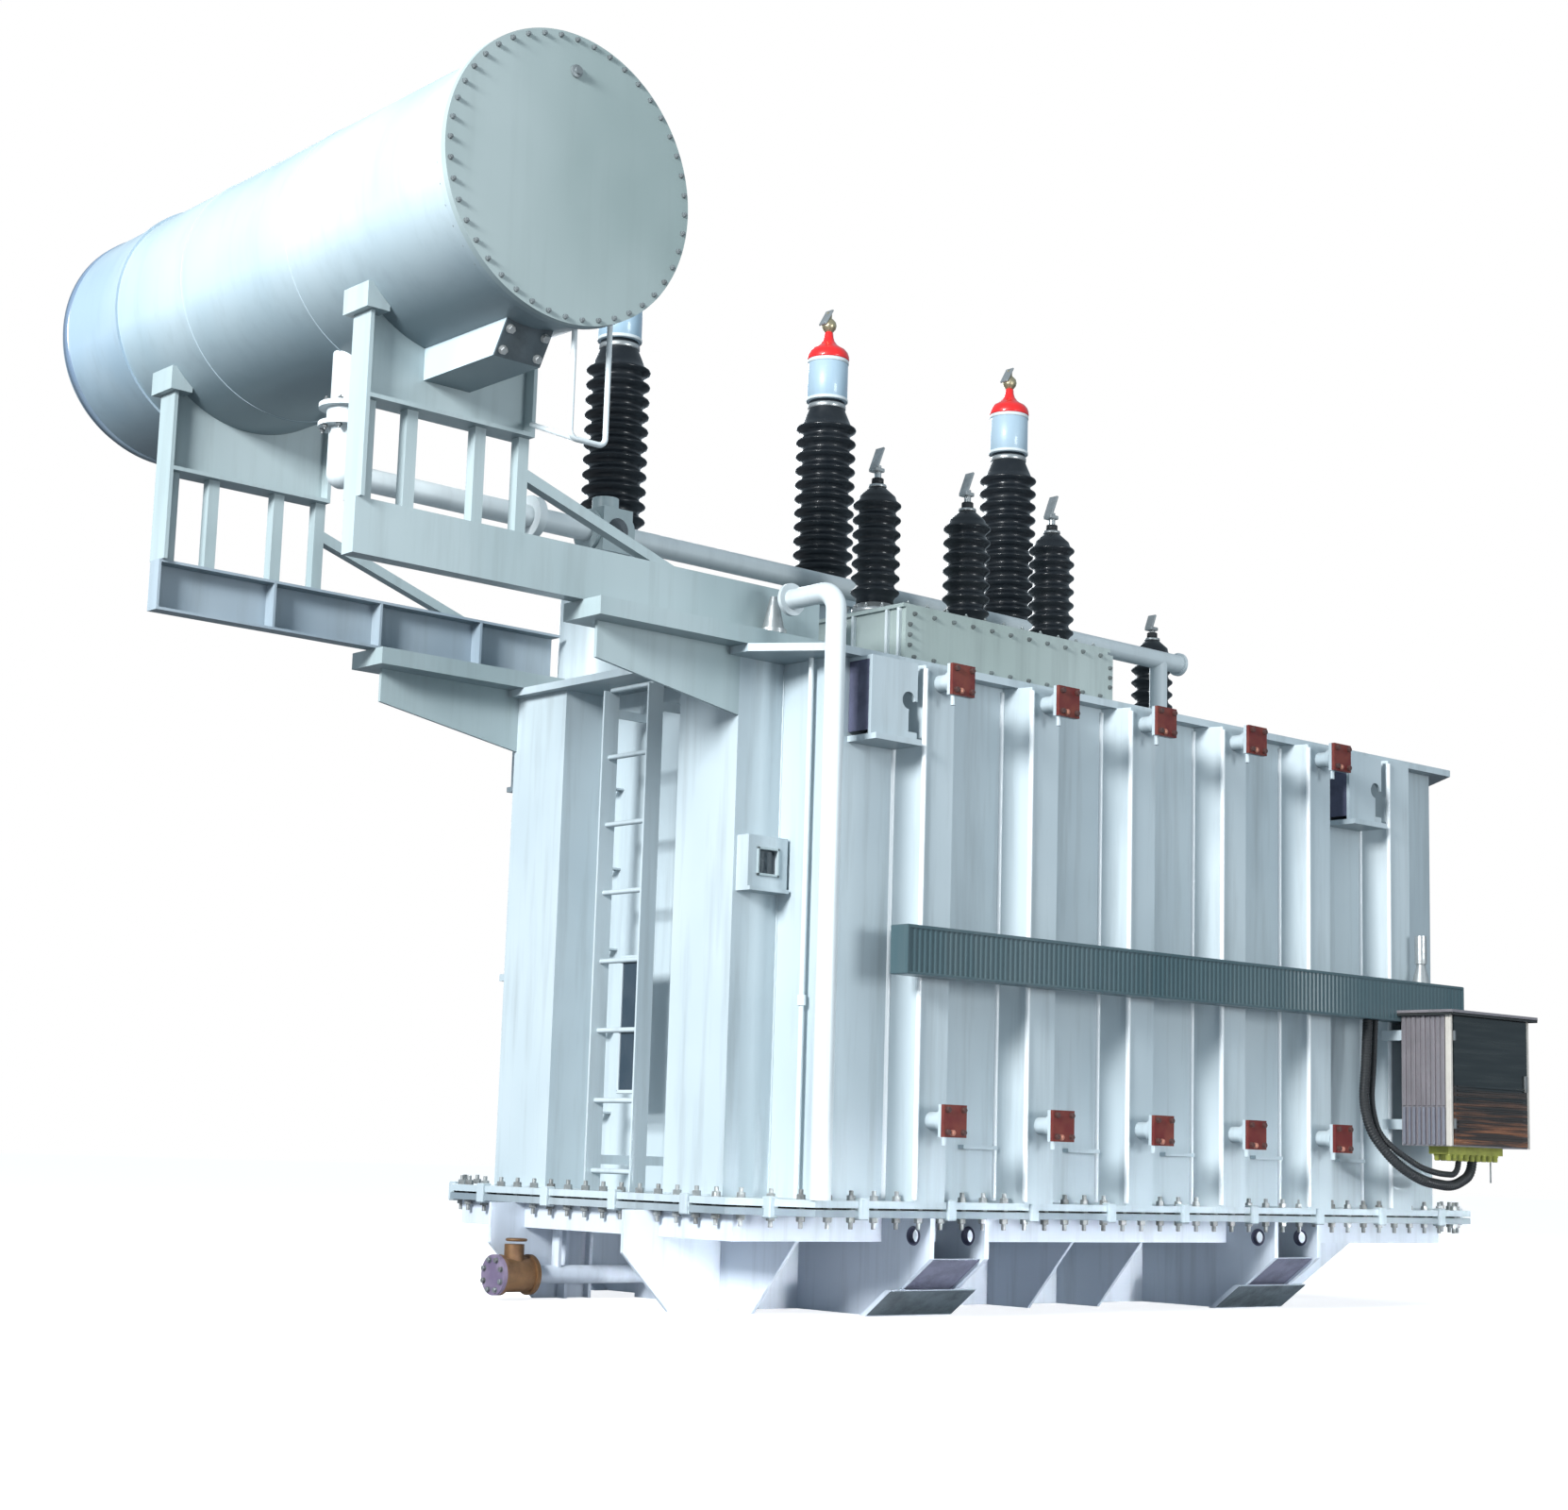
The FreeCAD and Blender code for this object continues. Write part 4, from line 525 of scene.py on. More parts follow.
    # dark blue for the band at the drum's rim: painted shade
    paint("rim_blue", (0.15, 0.215, 0.31), 0.3, 0.4, 0.0, 0.6)
    metal("lug_shade", (0.13, 0.135, 0.19), (0.08, 0.085, 0.12), 0.6, 0.5)
    # near-white for the beads on the rib edges: painted highlight
    paint("edge_white", (0.86, 0.90, 0.92), 0.05, 0.1, 0.0, 0.0, coat=0.4)
    metal("hook_shade", (0.085, 0.09, 0.15), (0.05, 0.055, 0.09), 0.6, 0.5)
    FINISHES["door_steel"] = door_steel()


def door_steel():
    """Dark polished sheet: broad level bands, warmer and brighter towards the bottom of the door."""
    material, tree, shader = new_material("door_steel", Metallic=0.35, Coat_Weight=0.3)
    bands = ranged(tree, noise_at(tree, 6.0, (0.25, 0.25, 6.0), 3.0), 0.45, 0.65)
    height = vector_parts(tree, tree.nodes.new("ShaderNodeTexCoord").outputs["Object"])["Z"]
    low = ranged(tree, height, 0.98, 1.32, 1.0, 0.0)
    warm = mixed(tree, bands, (0.055, 0.035, 0.028, 1), (0.42, 0.16, 0.07, 1))
    cool = mixed(tree, bands, (0.010, 0.017, 0.019, 1), (0.028, 0.036, 0.037, 1))
    feed(tree, mixed(tree, low, cool, warm), shader.inputs["Base Color"])
    feed(tree, ranged(tree, bands, 0, 1, 0.18, 0.3), shader.inputs["Roughness"])
    return material


CAD_FINISH = {
    "base_skid": "base_enamel_and_painted_bounce", "lower_tray": "base_enamel_and_painted_bounce", "base_gussets": "base_enamel_and_painted_bounce",
    "hauling_lugs": "base_enamel_and_painted_bounce", "lower_flange": "joint_enamel", "tank_flange": "tank_enamel",
    "flange_packing": "gasket", "tank_shell": "tank_enamel", "tank_ribs": "tank_enamel",
    "end_pilasters": "tank_enamel", "tank_cover": "tank_enamel", "lifting_hooks": "tank_enamel",
    "beam_brackets": "frame_enamel", "conservator_beam_front": "frame_enamel",
    "conservator_beam_rear": "far_beam_shaded_enamel", "conservator_saddles": "frame_enamel",
    "saddle_braces": "frame_enamel", "conservator_shell": "drum_enamel",
    "conservator_cover": "drum_cover_enamel", "conservator_dished_end": "dished_enamel",
    "conservator_sump": "drum_enamel", "header_pipe": "pipe_enamel", "gas_relay": "frame_enamel",
    "conservator_valve": "pipe_enamel", "corner_pipe": "pipe_enamel", "sight_pipes": "pipe_enamel",
    "drain_pipe": "base_enamel_and_painted_bounce", "drain_valve": "bronze", "drain_blank": "violet_primer",
    "ladder": "tank_enamel", "gauge_box": "tank_enamel", "hv_turrets": "tank_enamel",
    "hv_bushings": "glaze", "hv_bushing_heads": "cap_enamel", "lv_turret_box": "box_enamel",
    "lv_bushings": "glaze", "neutral_bushing": "glaze", "radiator_valves": "tank_enamel",
    "blanking_plates": "primer", "side_brackets": "tank_enamel", "cable_tray": "tray_enamel",
    "control_cabinet": "cabinet_steel", "gland_plate": "gland_yellow", "cabinet_conduits": "rubber",
    "top_fittings": "zinc",
}


# ------------------------------------------------------------------------------ operators
class PaintNodes(bpy.types.Operator):
    """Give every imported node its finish"""
    bl_idname = "transformer.paint_nodes"
    bl_label = "Paint packed nodes"

    def execute(self, context):
        make_finishes(context.scene.transformer_colours)
        missing = sorted(set(NODES) - set(CAD_FINISH))
        if missing:
            raise RuntimeError(f"no finish for {missing}")
        for name, item in NODES.items():
            item.data.materials.clear()
            item.data.materials.append(FINISHES[CAD_FINISH[name]])
        return {"FINISHED"}


def row_of(node, count):
    """Base centres and height of like round pieces in a row along X, from their shared box."""
    low, high = corners(node)
    radius = (high[1] - low[1]) / 2
    xs = np.linspace(low[0] + radius, high[0] - radius, count)
    return line(xs, low[1] + radius, low[2]), high[2] - low[2]


def shed_profile(core, reach, pitch, start, count):
    """Radius and height down a column of sheds.

    Within one pitch the radius is the core plus the reach times a tooth that climbs a shallow
    underside, is widest just below the middle and falls along a drooping top.
    """
    share = np.array([0.0, 0.20, 0.36, 0.44, 0.52, 0.74])
    tooth = np.array([0.0, 0.42, 0.92, 1.0, 0.93, 0.22])
    height = start + (np.arange(count)[:, None] + share) * pitch
    radius = np.broadcast_to(core + reach * tooth, height.shape)
    return np.stack([radius.ravel(), height.ravel()], -1)


def at_each(places, profile, **more):
    """The same turned shape at several places."""
    return gathered([turned(profile, place, **more) for place in places])


class BuildHighColumns(bpy.types.Operator):
    """Glazed shed columns, metal feet and bolts of the high-voltage bushings"""
    bl_idname = "transformer.high_columns"
    bl_label = "High-voltage columns"

    def execute(self, context):
        sizes = context.scene.transformer_sizes
        places, height = row_of("hv_bushings", 3)
        pitch, reach = sizes.shed_pitch, sizes.shed_depth
        start, edge_radius, neck = 0.11, 0.190, 0.112
        count = int((height - 0.07 - start) / pitch)
        core = edge_radius - reach
        sheds = shed_profile(core, reach, pitch, start, count)
        profile = [(0, 0.05), (core, 0.05), *sheds, (core, start + count * pitch),
                   (neck, height - 0.045), (neck, height + 0.005), (0, height + 0.005)]
        column = add_piece("high_voltage_sheds", *at_each(places, profile), "glaze", "porcelain")
        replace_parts(column, "hv_bushings")
        foot = [(0, 0), (0.203, 0), (0.209, 0.006), (0.209, 0.024), (0.201, 0.030), (0.176, 0.034),
                (0.168, 0.062), (0.158, 0.088), (0, 0.088)]
        add_piece("high_voltage_feet", *at_each(places, foot), "frame_enamel")
        collar = [(0, -0.05), (0.116, -0.05), (0.120, -0.045), (0.120, -0.024), (0.116, -0.018),
                  (0, -0.018)]
        add_piece("high_voltage_collars", *at_each(places + (0, 0, height), collar), "zinc")
        return {"FINISHED"}


class BuildHighHeads(bpy.types.Operator):
    """Enamelled caps, red bells, brass terminals and lugs of the high-voltage bushings"""
    bl_idname = "transformer.high_heads"
    bl_label = "High-voltage heads"

    def execute(self, context):
        places = row_of("hv_bushing_heads", 3)[0]
        radius = 0.128
        cap = [(0, 0), (radius - 0.004, 0), (radius, 0.004), (radius, 0.272), (radius - 0.005, 0.279),
               (0, 0.28)]
        caps = add_piece("high_voltage_caps", *at_each(places, cap, count=64), "cap_enamel", "cap_paint")
        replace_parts(caps, "hv_bushing_heads")
        rings = []
        near, far = radius + 0.001, radius + 0.004
        for low, tall in ((0.0, 0.022), (0.246, 0.026)):
            ring = [(0, 0.001), (near, 0.001), (far, 0.004), (far, tall - 0.004), (near, tall), (0, tall)]
            rings.append(at_each(places + (0, 0, low), ring, count=64))
        add_piece("high_voltage_cap_rings", *gathered(rings), "pipe_enamel")
        bell = [(0, 0.270), (radius + 0.003, 0.271), (radius + 0.006, 0.279), (radius + 0.004, 0.300),
                (radius * 0.97, 0.322), (radius * 0.84, 0.342), (radius * 0.62, 0.358),
                (radius * 0.44, 0.376), (0.038, 0.402), (0.030, 0.428), (0.028, 0.452),
                (0.024, 0.462), (0, 0.463)]
        add_piece("high_voltage_bells", *at_each(places, bell), "bell_enamel")
        ball = [(0, 0.455), (0.022, 0.456), (0.030, 0.466), (0.043, 0.482), (0.048, 0.503), (0.043, 0.526),
                (0.028, 0.543), (0.017, 0.552), (0.017, 0.588), (0.013, 0.593), (0, 0.593)]
        add_piece("high_voltage_terminals", *at_each(places, ball, count=32), "terminal_brass")
        tilt = np.array([[0.87, 0, 0.5], [0, 1, 0], [-0.5, 0, 0.87]])
        plate = slab_points((-0.006, -0.034, 0.0), (0.006, 0.034, 0.12), 0.003) @ tilt.T
        lugs = [(plate + place + (-0.055, 0, 0.50), BLOCK_FACES) for place in places]
        strap = slab_points((-0.055, -0.02, 0.505), (0.0, 0.02, 0.52), 0.003)
        lugs += [(strap + place, BLOCK_FACES) for place in places]
        add_piece("high_voltage_lugs", *gathered(lugs), "zinc", smooth=False)
        return {"FINISHED"}


class BuildLowBushings(bpy.types.Operator):
    """Glazed shed columns, feet, collars and spade terminals of the low-voltage and neutral bushings"""
    bl_idname = "transformer.low_bushings"
    bl_label = "Low-voltage and neutral bushings"

    def execute(self, context):
        sizes = context.scene.transformer_sizes
        self.build("low_voltage", "lv_bushings", 3, 0.26, sizes.small_shed_pitch)
        self.build("neutral", "neutral_bushing", 1, 0.18, sizes.small_shed_pitch)
        return {"FINISHED"}

    def build(self, name, node, number, terminal, pitch):
        """One kind of bushing: sheds up to the terminal's foot, then a collar, a stem and a leaning spade."""
        places, height = row_of(node, number)
        column = height - terminal
        core, reach, start = 0.101, 0.031, 0.085
        count = int((column - start) / pitch)
        sheds = shed_profile(core, reach, pitch, start, count)
        profile = [(0, 0.05), (core, 0.05), *sheds, (core, start + count * pitch), (core * 0.98, column),
                   (core * 0.60, column + 0.035), (0.040, column + 0.055), (0.036, column + 0.058),
                   (0, column + 0.058)]
        piece = add_piece(name + "_sheds", *at_each(places, profile), "glaze", "porcelain")
        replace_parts(piece, node)
        foot = [(0, 0), (0.120, 0), (0.125, 0.005), (0.125, 0.022), (0.118, 0.026), (0.102, 0.030),
                (0.100, 0.075), (0, 0.078)]
        ring = [(0, column + 0.050), (0.046, column + 0.050), (0.050, column + 0.055),
                (0.048, column + 0.066), (0, column + 0.066)]
        feet = [at_each(places, foot), at_each(places, ring, count=32)]
        add_piece(name + "_feet", *gathered(feet), "zinc")
        collar_top = column + 0.104
        collar = [(0, column + 0.062), (0.033, column + 0.063), (0.033, column + 0.100),
                  (0.028, collar_top), (0, collar_top)]
        add_piece(name + "_collars", *at_each(places, collar, count=32), "rubber")
        stud_top = collar_top + (terminal - 0.104) * 0.45
        stem = [(0, column + 0.10), (0.019, column + 0.10), (0.019, stud_top), (0, stud_top)]
        low = collar_top + (terminal - 0.104) * 0.25
        tilt = np.array([[0.93, 0, 0.36], [0, 1, 0], [-0.36, 0, 0.93]])
        spade = slab_points((-0.040, -0.032, 0.0), (-0.026, 0.032, terminal * 0.50), 0.003) @ tilt.T
        foot_plate = slab_points((-0.042, -0.030, low - 0.006), (0.026, 0.030, low + 0.016), 0.004)
        parts = [at_each(places, stem, count=20)]
        for place in places:
            parts.append((foot_plate + place, BLOCK_FACES))
            parts.append((spade + place + (0, 0, low), BLOCK_FACES))
        add_piece(name + "_terminals", *gathered(parts), "zinc", smooth=False)


def cut_outline(node, inset):
    """Corners of an eight-sided plate whose corners are cut, drawn in by an inset."""
    end, side = corners(node)[1][:2] - inset
    across, lengthwise = 0.35, 0.35 * 0.77
    quarter = [(end, side - across), (end - lengthwise, side)]
    outline = quarter + [(-x, y) for x, y in quarter[::-1]]
    outline += [(-x, -y) for x, y in quarter] + [(x, -y) for x, y in quarter[::-1]]
    return np.array(outline)


class BuildJointBolts(bpy.types.Operator):
    """Bolts round the tank joint, heads above and nuts with stud ends below"""
    bl_idname = "transformer.joint_bolts"
    bl_label = "Joint bolts"

    def execute(self, context):
        sizes = context.scene.transformer_sizes
        low, high = corners("lower_flange")[0][2], corners("tank_flange")[1][2]
        flat = along(cut_outline("tank_flange", 0.042), sizes.bolt_spacing)
        x, y = flat.T
        heads = bolts_on(line(x, y, high), UP, sizes.bolt_across, 0.022)
        nuts = bolts_on(line(x, y, low), DOWN, sizes.bolt_across, 0.030)
        add_piece("joint_bolts", *gathered([heads, nuts]), "joint_bolt", smooth=False)
        middle = (low + high) / 2
        clamps = along(cut_outline("tank_flange", 0.012), sizes.bolt_spacing * 4)
        boxes = [((x - 0.03, y - 0.03, low - 0.012), (x + 0.03, y + 0.03, high + 0.012)) for x, y in clamps]
        add_blocks("joint_clamps", boxes, "tank_enamel", 0.006)
        shanks = [((x - 0.016, y - 0.016, middle - 0.03), (x + 0.016, y + 0.016, middle + 0.03))
                  for x, y in flat]
        add_blocks("joint_spacers", shanks, "dark_bolt", 0.003)
        return {"FINISHED"}


class BuildDrumDetails(bpy.types.Operator):
    """Conservator cover bolts and boss, weld seams, a dark band of painted shade at the rim and the sump's
    bolted end plate
    """
    bl_idname = "transformer.drum_details"
    bl_label = "Conservator details"

    def execute(self, context):
        low, high = corners("conservator_cover")
        centre = (low + high) / 2
        radius = (high[0] - low[0]) / 2
        face = np.array([centre[0], low[1], centre[2]])
        boss = turned([(0, -0.002), (0.030, 0), (0.030, 0.012), (0.018, 0.016), (0.018, 0.028), (0, 0.028)],
                      face + (0, 0, radius * 0.74), "Y", -1, 20)
        bolts = bolts_on(ring_of(face, radius - 0.024, 44, "Y"), (0, -1, 0), 0.020, 0.005)
        nuts = bolts_on(ring_of(face + (0, 0.064, 0), radius - 0.020, 44, "Y"), (0, 1, 0), 0.020, 0.010)
        add_piece("drum_cover_bolts", *gathered([bolts, nuts, boss]), "drum_bolt", smooth=False)
        wall, rim_start = radius - 0.038, 1.792
        turn = np.linspace(0, 2 * np.pi, 145)
        x, z = centre[0] + wall * np.cos(turn), centre[2] + wall * np.sin(turn)
        seams = [swept(line(x, y, z), size, 8, closed_ends=False)
                 for y, size in ((low[1] + 0.068, 0.010), (-0.45, 0.004), (0.55, 0.004))]
        add_piece("drum_seams", *gathered(seams), "drum_enamel")
        # a dark band round the drum next to the dished end: painted shade of its rounded edge
        band = [(0, 0), (wall + 0.005, 0), (wall + 0.005, 0.055), (0, 0.055)]
        add_piece("drum_rim_shade", *turned(band, (centre[0], rim_start, centre[2]), "Y", 1, 96), "rim_blue")
        self.sump_end()
        return {"FINISHED"}

    def sump_end(self):
        """A thin plate on the sump's sloping end, with a bolt near each corner."""
        low, high = corners("conservator_sump")
        slope = np.array([0.0, -0.8480, -0.5300])
        slope /= np.linalg.norm(slope)
        thickness, inset = 0.004, 0.035
        lower = np.array([low[1] + 0.0956, low[2]])
        upper = np.array([low[1], low[2] + 0.153])
        left, right = low[0] + thickness, high[0] - thickness
        outline = np.array([(left, *lower), (right, *lower), (right, *upper), (left, *upper)])
        plate = np.concatenate([outline, outline + slope * thickness])
        sides = [(0, 1, 2, 3), (7, 6, 5, 4), (0, 4, 5, 1), (1, 5, 6, 2), (2, 6, 7, 3), (3, 7, 4, 0)]
        add_piece("sump_plate", plate, sides, "plate_dark", smooth=False)
        spots = np.array([(x, *(lower + (upper - lower) * share))
                          for x in (low[0] + inset, high[0] - inset) for share in (0.2, 0.76)])
        add_piece("sump_bolts", *bolts_on(spots + slope * thickness, slope, 0.034), "zinc", smooth=False)


class BuildPlateBolts(bpy.types.Operator):
    """Bolts of the blanking plates, turrets, bushings, low-voltage box and pipes, and the drain's wheel"""
    bl_idname = "transformer.plate_bolts"
    bl_label = "Plate bolts"

    def execute(self, context):
        self.blanks()
        self.turrets()
        self.box()
        self.pipes()
        return {"FINISHED"}

    def blanks(self):
        """Four bolts and one drain plug on every blanking plate of both long sides."""
        low, high = corners("blanking_plates")
        columns = np.arange(VALVE_COLUMNS) * RIB_PITCH + low[0] + BLANK_HALF
        levels = (low[2] + BLANK_HALF, high[2] - BLANK_HALF)
        places, axes, plugs, plug_axes = [], [], [], []
        for sign, y in ((-1, low[1]), (1, high[1])):
            for x in columns:
                for z in levels:
                    for across in (-BLANK_BOLT, BLANK_BOLT):
                        for up in (-BLANK_BOLT, BLANK_BOLT):
                            places.append((x + across, y, z + up))
                            axes.append((0, sign, 0))
                    plugs.append((x - 0.022, y, z - 0.058))
                    plug_axes.append((0, sign, 0))
        add_piece("blank_bolts", *bolts_on(places, axes, 0.026), "primer_bolt", smooth=False)
        plug = turned([(0, 0), (0.016, 0), (0.015, 0.012), (0.010, 0.018), (0, 0.018)], count=14)
        add_piece("blank_plugs", *stamped(plug, plugs, plug_axes), "copper_plug")

    def turrets(self):
        """Rings of bolts round both flanges of the turrets and round the feet of all bushings."""
        places, height = row_of("hv_turrets", 3)
        bolts = []
        for place in places:
            for z, sign in ((height - 0.044, -1), (0.033, 1)):
                bolts.append(bolts_on(ring_of(place + (0, 0, z), 0.304, 18), (0, 0, sign), 0.028, 0.010))
        for place in row_of("hv_bushings", 3)[0]:
            bolts.append(bolts_on(ring_of(place + (0, 0, 0.030), 0.191, 12), UP, 0.026, 0.012))
        for node, number in (("lv_bushings", 3), ("neutral_bushing", 1)):
            for place in row_of(node, number)[0]:
                spots = ring_of(place + (0, 0, 0.024), 0.112, 8, phase=0.5)
                bolts.append(bolts_on(spots, UP, 0.020, 0.008))
        add_piece("turret_bolts", *gathered(bolts), "joint_bolt", smooth=False)

    def box(self):
        """Bolts round the front of the low-voltage box and along its lid, and flat bars on its end."""
        low, high = corners("lv_turret_box")
        y = low[1]
        top, bottom = high[2] - 0.055, low[2] + 0.055
        row = np.arange(low[0] + 0.06, high[0] - 0.04, 0.145)
        spots = [(x, y, top) for x in row] + [(x, y, bottom) for x in row]
        for x in (low[0] + 0.028, high[0] - 0.028):
            spots += [(x, y, z) for z in (bottom + 0.06, (top + bottom) / 2, top - 0.06)]
        bolts = bolts_on(spots, (0, -1, 0), 0.020, 0.006)
        lid = bolts_on([(x, y + 0.05, high[2]) for x in row], UP, 0.020, 0.008)
        add_piece("box_bolts", *gathered([bolts, lid]), "box_bolt", smooth=False)
        ribs = []
        for near in (low[1] + 0.05, low[1] + 0.14, low[1] + 0.40):
            ribs.append(((low[0] - 0.004, near, low[2] + 0.02),
                         (low[0] + 0.022, near + 0.018, high[2] - 0.02)))
        add_blocks("box_side_ribs", ribs, "pipe_enamel", 0.003)

    def pipes(self):
        """Rings of bolts on the flanges of the pipes, and the drain valve's wheel as a closed ring."""
        low, high = corners("gas_relay")
        y, axis_z = (low[1] + high[1]) / 2, low[2] + RELAY_AXIS
        bolts = []
        flanges = ((low[0] + 0.022, 1), (high[0] - 0.022, -1), (low[0] - 0.323, -1), (low[0] - 0.345, 1))
        for x, sign in flanges:
            spots = ring_of((x, y, axis_z), 0.086, 8, "X", 0.5)
            bolts.append(bolts_on(spots, (sign, 0, 0), 0.022, 0.008))
        foot_x, foot_z = 1.04, corners("header_pipe")[0][2] + 0.022
        bolts.append(bolts_on(ring_of((foot_x, y, foot_z), 0.086, 8), UP, 0.022, 0.008))
        low, high = corners("conservator_valve")
        x, y = (low + high)[:2] / 2
        for z, axis in ((low[2], DOWN), (low[2] + 0.115, UP)):
            bolts.append(bolts_on(ring_of((x, y, z), 0.105, 8), axis, 0.022, 0.008))
        low, high = corners("drain_blank")
        x, y, z = (low + high) / 2
        bolts.append(bolts_on(ring_of((low[0], y, z), 0.082, 8, "X", 0.5), (-1, 0, 0), 0.024))
        add_piece("pipe_bolts", *gathered(bolts), "dark_bolt", smooth=False)
        turn = np.linspace(0, 2 * np.pi, 25)
        wheel = line(x + 0.13 + 0.05 * np.cos(turn), y + 0.05 * np.sin(turn), high[2] + 0.075)
        add_piece("drain_wheel", *swept(wheel, 0.008, 8, closed_ends=False), "bronze")


class BuildWelds(bpy.types.Operator):
    """Weld beads down the ribs and pilasters and along the tank's foot, and pale beads on the ribs as painted
    highlights
    """
    bl_idname = "transformer.welds"
    bl_label = "Weld beads"

    def execute(self, context):
        radius = context.scene.transformer_sizes.bead_radius
        tank_low, tank_high = corners("tank_shell")
        z = np.arange(tank_low[2] + 0.01, tank_high[2] - 0.005, BEAD_STEP)
        rib_middles = RIB_PITCH * (np.arange(RIB_COUNT) - (RIB_COUNT - 1) / 2)
        foot, highlight_foot, highlight_corner = 0.156, 0.158, 0.104
        paths = []
        for y in (tank_low[1], tank_high[1]):
            paths += [line(middle + side, y, z) for middle in rib_middles for side in (-foot, foot)]
        low, high = corners("end_pilasters")
        inner_low, inner_high = low[1] + PILASTER_WIDTH, high[1] - PILASTER_WIDTH
        paths += [line(tank_low[0], y, z) for y in (low[1], inner_low, inner_high, high[1])]
        for start in (low[1], inner_high):
            y = np.arange(start, start + PILASTER_WIDTH + 0.001, BEAD_STEP)
            paths.append(line(low[0], y, tank_low[2]))
        x = np.arange(tank_low[0], tank_high[0] + 0.01, BEAD_STEP)
        paths += [line(x, y, tank_low[2]) for y in (tank_low[1], tank_high[1])]
        add_piece("tank_welds", *gathered([self.bead(path, radius) for path in paths]), "tank_enamel")
        # pale beads at each rib's root and front corner: painted highlights
        rib_low, rib_high = corners("tank_ribs")
        edges = []
        for wall, face in ((tank_low[1], rib_low[1]), (tank_high[1], rib_high[1])):
            for middle in rib_middles:
                for x, y in ((middle - highlight_foot, wall), (middle - highlight_corner, face)):
                    edges.append(swept(line(x, y, z), radius * 2, 8))
        add_piece("rib_edge_highlights", *gathered(edges), "edge_white")
        return {"FINISHED"}

    def bead(self, path, radius):
        """A thin round bead whose radius swells and shrinks a little along its length."""
        wave = 1 + 0.22 * np.sin(np.arange(len(path)) * 2.1)
        return swept(path, radius * wave, 6)


class BuildTray(bpy.types.Operator):
    """The fluted cable tray with its lid edge and end caps"""
    bl_idname = "transformer.tray"
    bl_label = "Cable tray"

    def execute(self, context):
        flute = context.scene.transformer_sizes.tray_flute
        low, high = corners("cable_tray")
        shape = self.fluted(low, high, flute)
        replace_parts(add_piece("fluted_tray", *shape, "tray_enamel", "tray_paint", smooth=False), "cable_tray")
        lips = [((low[0], low[1] - 0.003, high[2] - 0.014), (high[0], high[1], high[2] + 0.003)),
                ((low[0], low[1] - 0.003, low[2] - 0.003), (high[0], high[1], low[2] + 0.010)),
                ((high[0] - 0.012, low[1] - 0.004, low[2]), (high[0] + 0.004, high[1], high[2])),
                ((low[0] - 0.004, low[1] - 0.004, low[2]), (low[0] + 0.010, high[1], high[2]))]
        add_blocks("tray_edges", lips, "tray_enamel", 0.002)
        return {"FINISHED"}

    def fluted(self, low, high, pitch):
        """A box whose front is pleated: its depth follows a wave with flat crests, the hyperbolic
        tangent of three times the cosine of the distance along the tray, and dies out at the far end."""
        x = np.arange(low[0], high[0], pitch / 8)
        x = np.append(x, high[0])
        share = (x - low[0]) / (high[0] - low[0])
        fade = np.clip((0.86 - share) / 0.25, 0.25, 1.0)
        depth = 0.007 * fade * (1 + np.tanh(3 * np.cos(2 * np.pi * (x - low[0]) / pitch))) / 2
        front = low[1] + depth
        section = [(high[1], low[2]), (high[1], high[2]), (front, high[2]), (front, low[2])]
        points = np.stack([line(x, y, z) for y, z in section], 1).reshape(-1, 3)
        return points, [face[::-1] for face in tube_faces(len(x), 4)]


